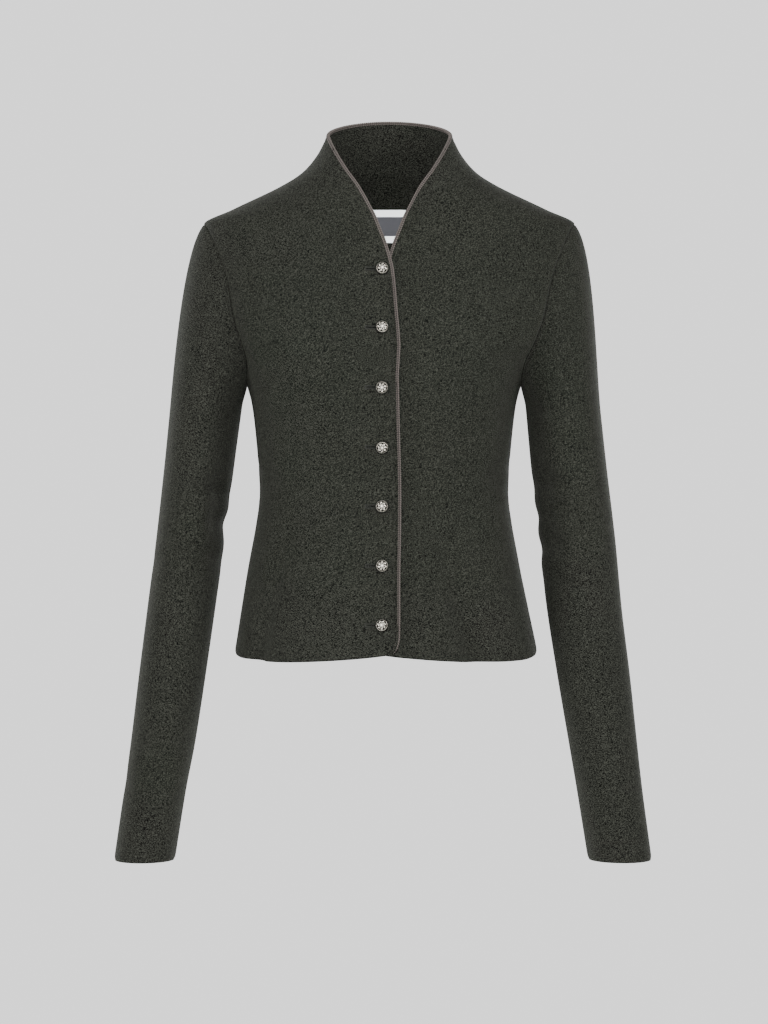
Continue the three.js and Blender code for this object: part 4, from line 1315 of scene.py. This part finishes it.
def antique_pewter():
    """Cast pewter, rubbed bright where it stands out and dark in its hollows."""
    made, tree, surface = new_material("antique_pewter", Metallic=1.0)
    relief = add(tree, "Attribute", attribute_name="relief").outputs["Fac"]
    worn = ranged(tree, relief, WORN_FROM, WORN_TO)
    stain = ranged(tree, grain(tree, PEWTER_STAIN), 0, 1, 0.7, 1.1)
    dyed(tree, surface, maths(tree, "MULTIPLY", worn, stain), PEWTER_DARK, PEWTER_LIGHT)
    tree.links.new(ranged(tree, worn, 0, 1, PEWTER_DULL, PEWTER_BRIGHT), surface.inputs["Roughness"])
    return made


pewter = antique_pewter()
for button, _ in buttons:
    button.data.materials.append(pewter)
print("pewter on", len(buttons), "buttons")

# %% [markdown]
# ### Label satin and thread
#
# The label is white woven satin, and its grey band is woven in, so it is a colour and not a print on
# top. Its threads are finer than 0.5 mm, and are drawn that coarse so that they show. The sewing
# thread is polyester in the wool's own colour, a little smoother than wool.

# %% Label satin and thread
LABEL_WHITE, LABEL_GREY = "#f2f5f5", "#25262c"
THREAD_COLOUR = "#141512"
LABEL_THREAD, SATIN_BUMP = 0.5, 0.05
BAND = (7, 27)  # the heights above the label's lower edge between which it is grey


def woven_satin():
    """White label satin with a grey woven band, and a weave of sine times sine."""
    made, tree, surface = new_material("woven_label_satin", Roughness=0.55, Sheen_Weight=0.2)
    across, up = cut_place(tree)
    above, below = maths(tree, "GREATER_THAN", up, BAND[0]), maths(tree, "LESS_THAN", up, BAND[1])
    dyed(tree, surface, maths(tree, "MULTIPLY", above, below), LABEL_WHITE, LABEL_GREY)
    warp, weft = (maths(tree, "SINE", maths(tree, "MULTIPLY", way, 2 * math.pi / LABEL_THREAD))
                  for way in (across, up))
    raised(tree, surface, maths(tree, "MULTIPLY", warp, weft), SATIN_BUMP)
    return made


thread = new_material("sewing_thread", Base_Color=linear(THREAD_COLOUR), Roughness=0.8,
                      Specular_IOR_Level=0.1)[0]
white_thread = new_material("white_thread", Base_Color=linear(LABEL_WHITE), Roughness=0.6)[0]
label.data.materials.append(woven_satin())
tacks.data.materials.append(white_thread)
for piece in (topstitching, whipping, *(shank for _, shank in buttons)):
    piece.data.materials.append(thread)
print("materials", len(bpy.data.materials))

# %% [markdown]
# ## What each piece stands for
#
# Every piece takes the place of its imported node, which is hidden, and rides on the garment. Boiled
# wool is cut flat and shaped by its seams, with a little easing and no stretching.

for side in ("right", "left"):
    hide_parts(f"front_{side}")
    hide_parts(f"sleeve_{side}")
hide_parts("back")
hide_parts("edge_binding")
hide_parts("neck_label")
for i, (button, _) in enumerate(buttons):
    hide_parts(f"button_{i + 1}")

print("sheets", len(fronts) + len(sleeves) + 2)

# %% [markdown]
# ## Floor and light
#
# The garment hangs over a pale floor, in a white room's soft light. A soft light on each side grazes
# the cloth and models its folds, the stronger one at the wearer's left. A high light in front looks
# into the neck and gives the buttons their glints, and a low one opens the shadows under them. Two
# more stand behind, for the back. Dark wool swallows light, so they are stronger than the room.

# %% Floor and light
FLOOR_HEIGHT, FLOOR_RADIUS, FLOOR_SIDES = -1400, 2500, 96
FLOOR_COLOUR = "#e8e8e6"
LIGHT_AIM = (0, 0, -0.3)
ROOM_LIGHT = 1.5
LIGHTS = (  # name, place in metres, size in metres, power in watts
    ("at the wearer's left", (2.6, -1.6, 0.9), 0.9, 150),
    ("at the wearer's right", (-2.6, -1.7, 0.3), 0.9, 120),
    ("low in front", (-0.2, -3.2, -0.7), 1.2, 60),
    ("high in front", (0.0, -3.0, 0.7), 0.7, 230),
    ("behind the right arm", (-2.2, 2.4, 0.7), 1.3, 230),
    ("behind the left arm", (1.6, 2.9, 0.4), 1.3, 190),
)


def soft_light(name, place, size, power):
    """A square soft light, aimed at the garment: it is tipped up from straight down by the angle of
    its way to the vertical, and turned round by the way's heading."""
    data = bpy.data.lights.new(name, "AREA")
    data.size, data.energy = size, power
    made = bpy.data.objects.new(name, data)
    made.location = place
    way = np.array(LIGHT_AIM) - np.array(place)
    tip, heading = math.atan2(math.hypot(way[0], way[1]), -way[2]), math.atan2(-way[0], way[1])
    made.rotation_euler = (tip, 0, heading)
    bpy.context.scene.collection.objects.link(made)


def pale_floor():
    """A flat disc of pale paper."""
    turn = np.linspace(0, 2 * np.pi, FLOOR_SIDES, endpoint=False)
    ring = np.stack([np.cos(turn), np.sin(turn), 0 * turn], axis=-1) * FLOOR_RADIUS
    mesh = bpy.data.meshes.new("pale_floor")
    mesh.from_pydata(((ring + [0, 0, FLOOR_HEIGHT]) * MM).tolist(), [], [list(range(FLOOR_SIDES))])
    floor = bpy.data.objects.new("pale_floor", mesh)
    bpy.context.scene.collection.objects.link(floor)
    mesh.materials.append(new_material("pale_paper", Base_Color=linear(FLOOR_COLOUR), Roughness=0.9)[0])
    return floor


pale_floor()
for light in LIGHTS:
    soft_light(*light)
world = bpy.data.worlds.new("white_room")
bpy.context.scene.world = world
world.use_nodes = True
room = world.node_tree.nodes["Background"].inputs
room["Color"].default_value = (1, 1, 1, 1)
room["Strength"].default_value = ROOM_LIGHT
print("lights", len(LIGHTS))
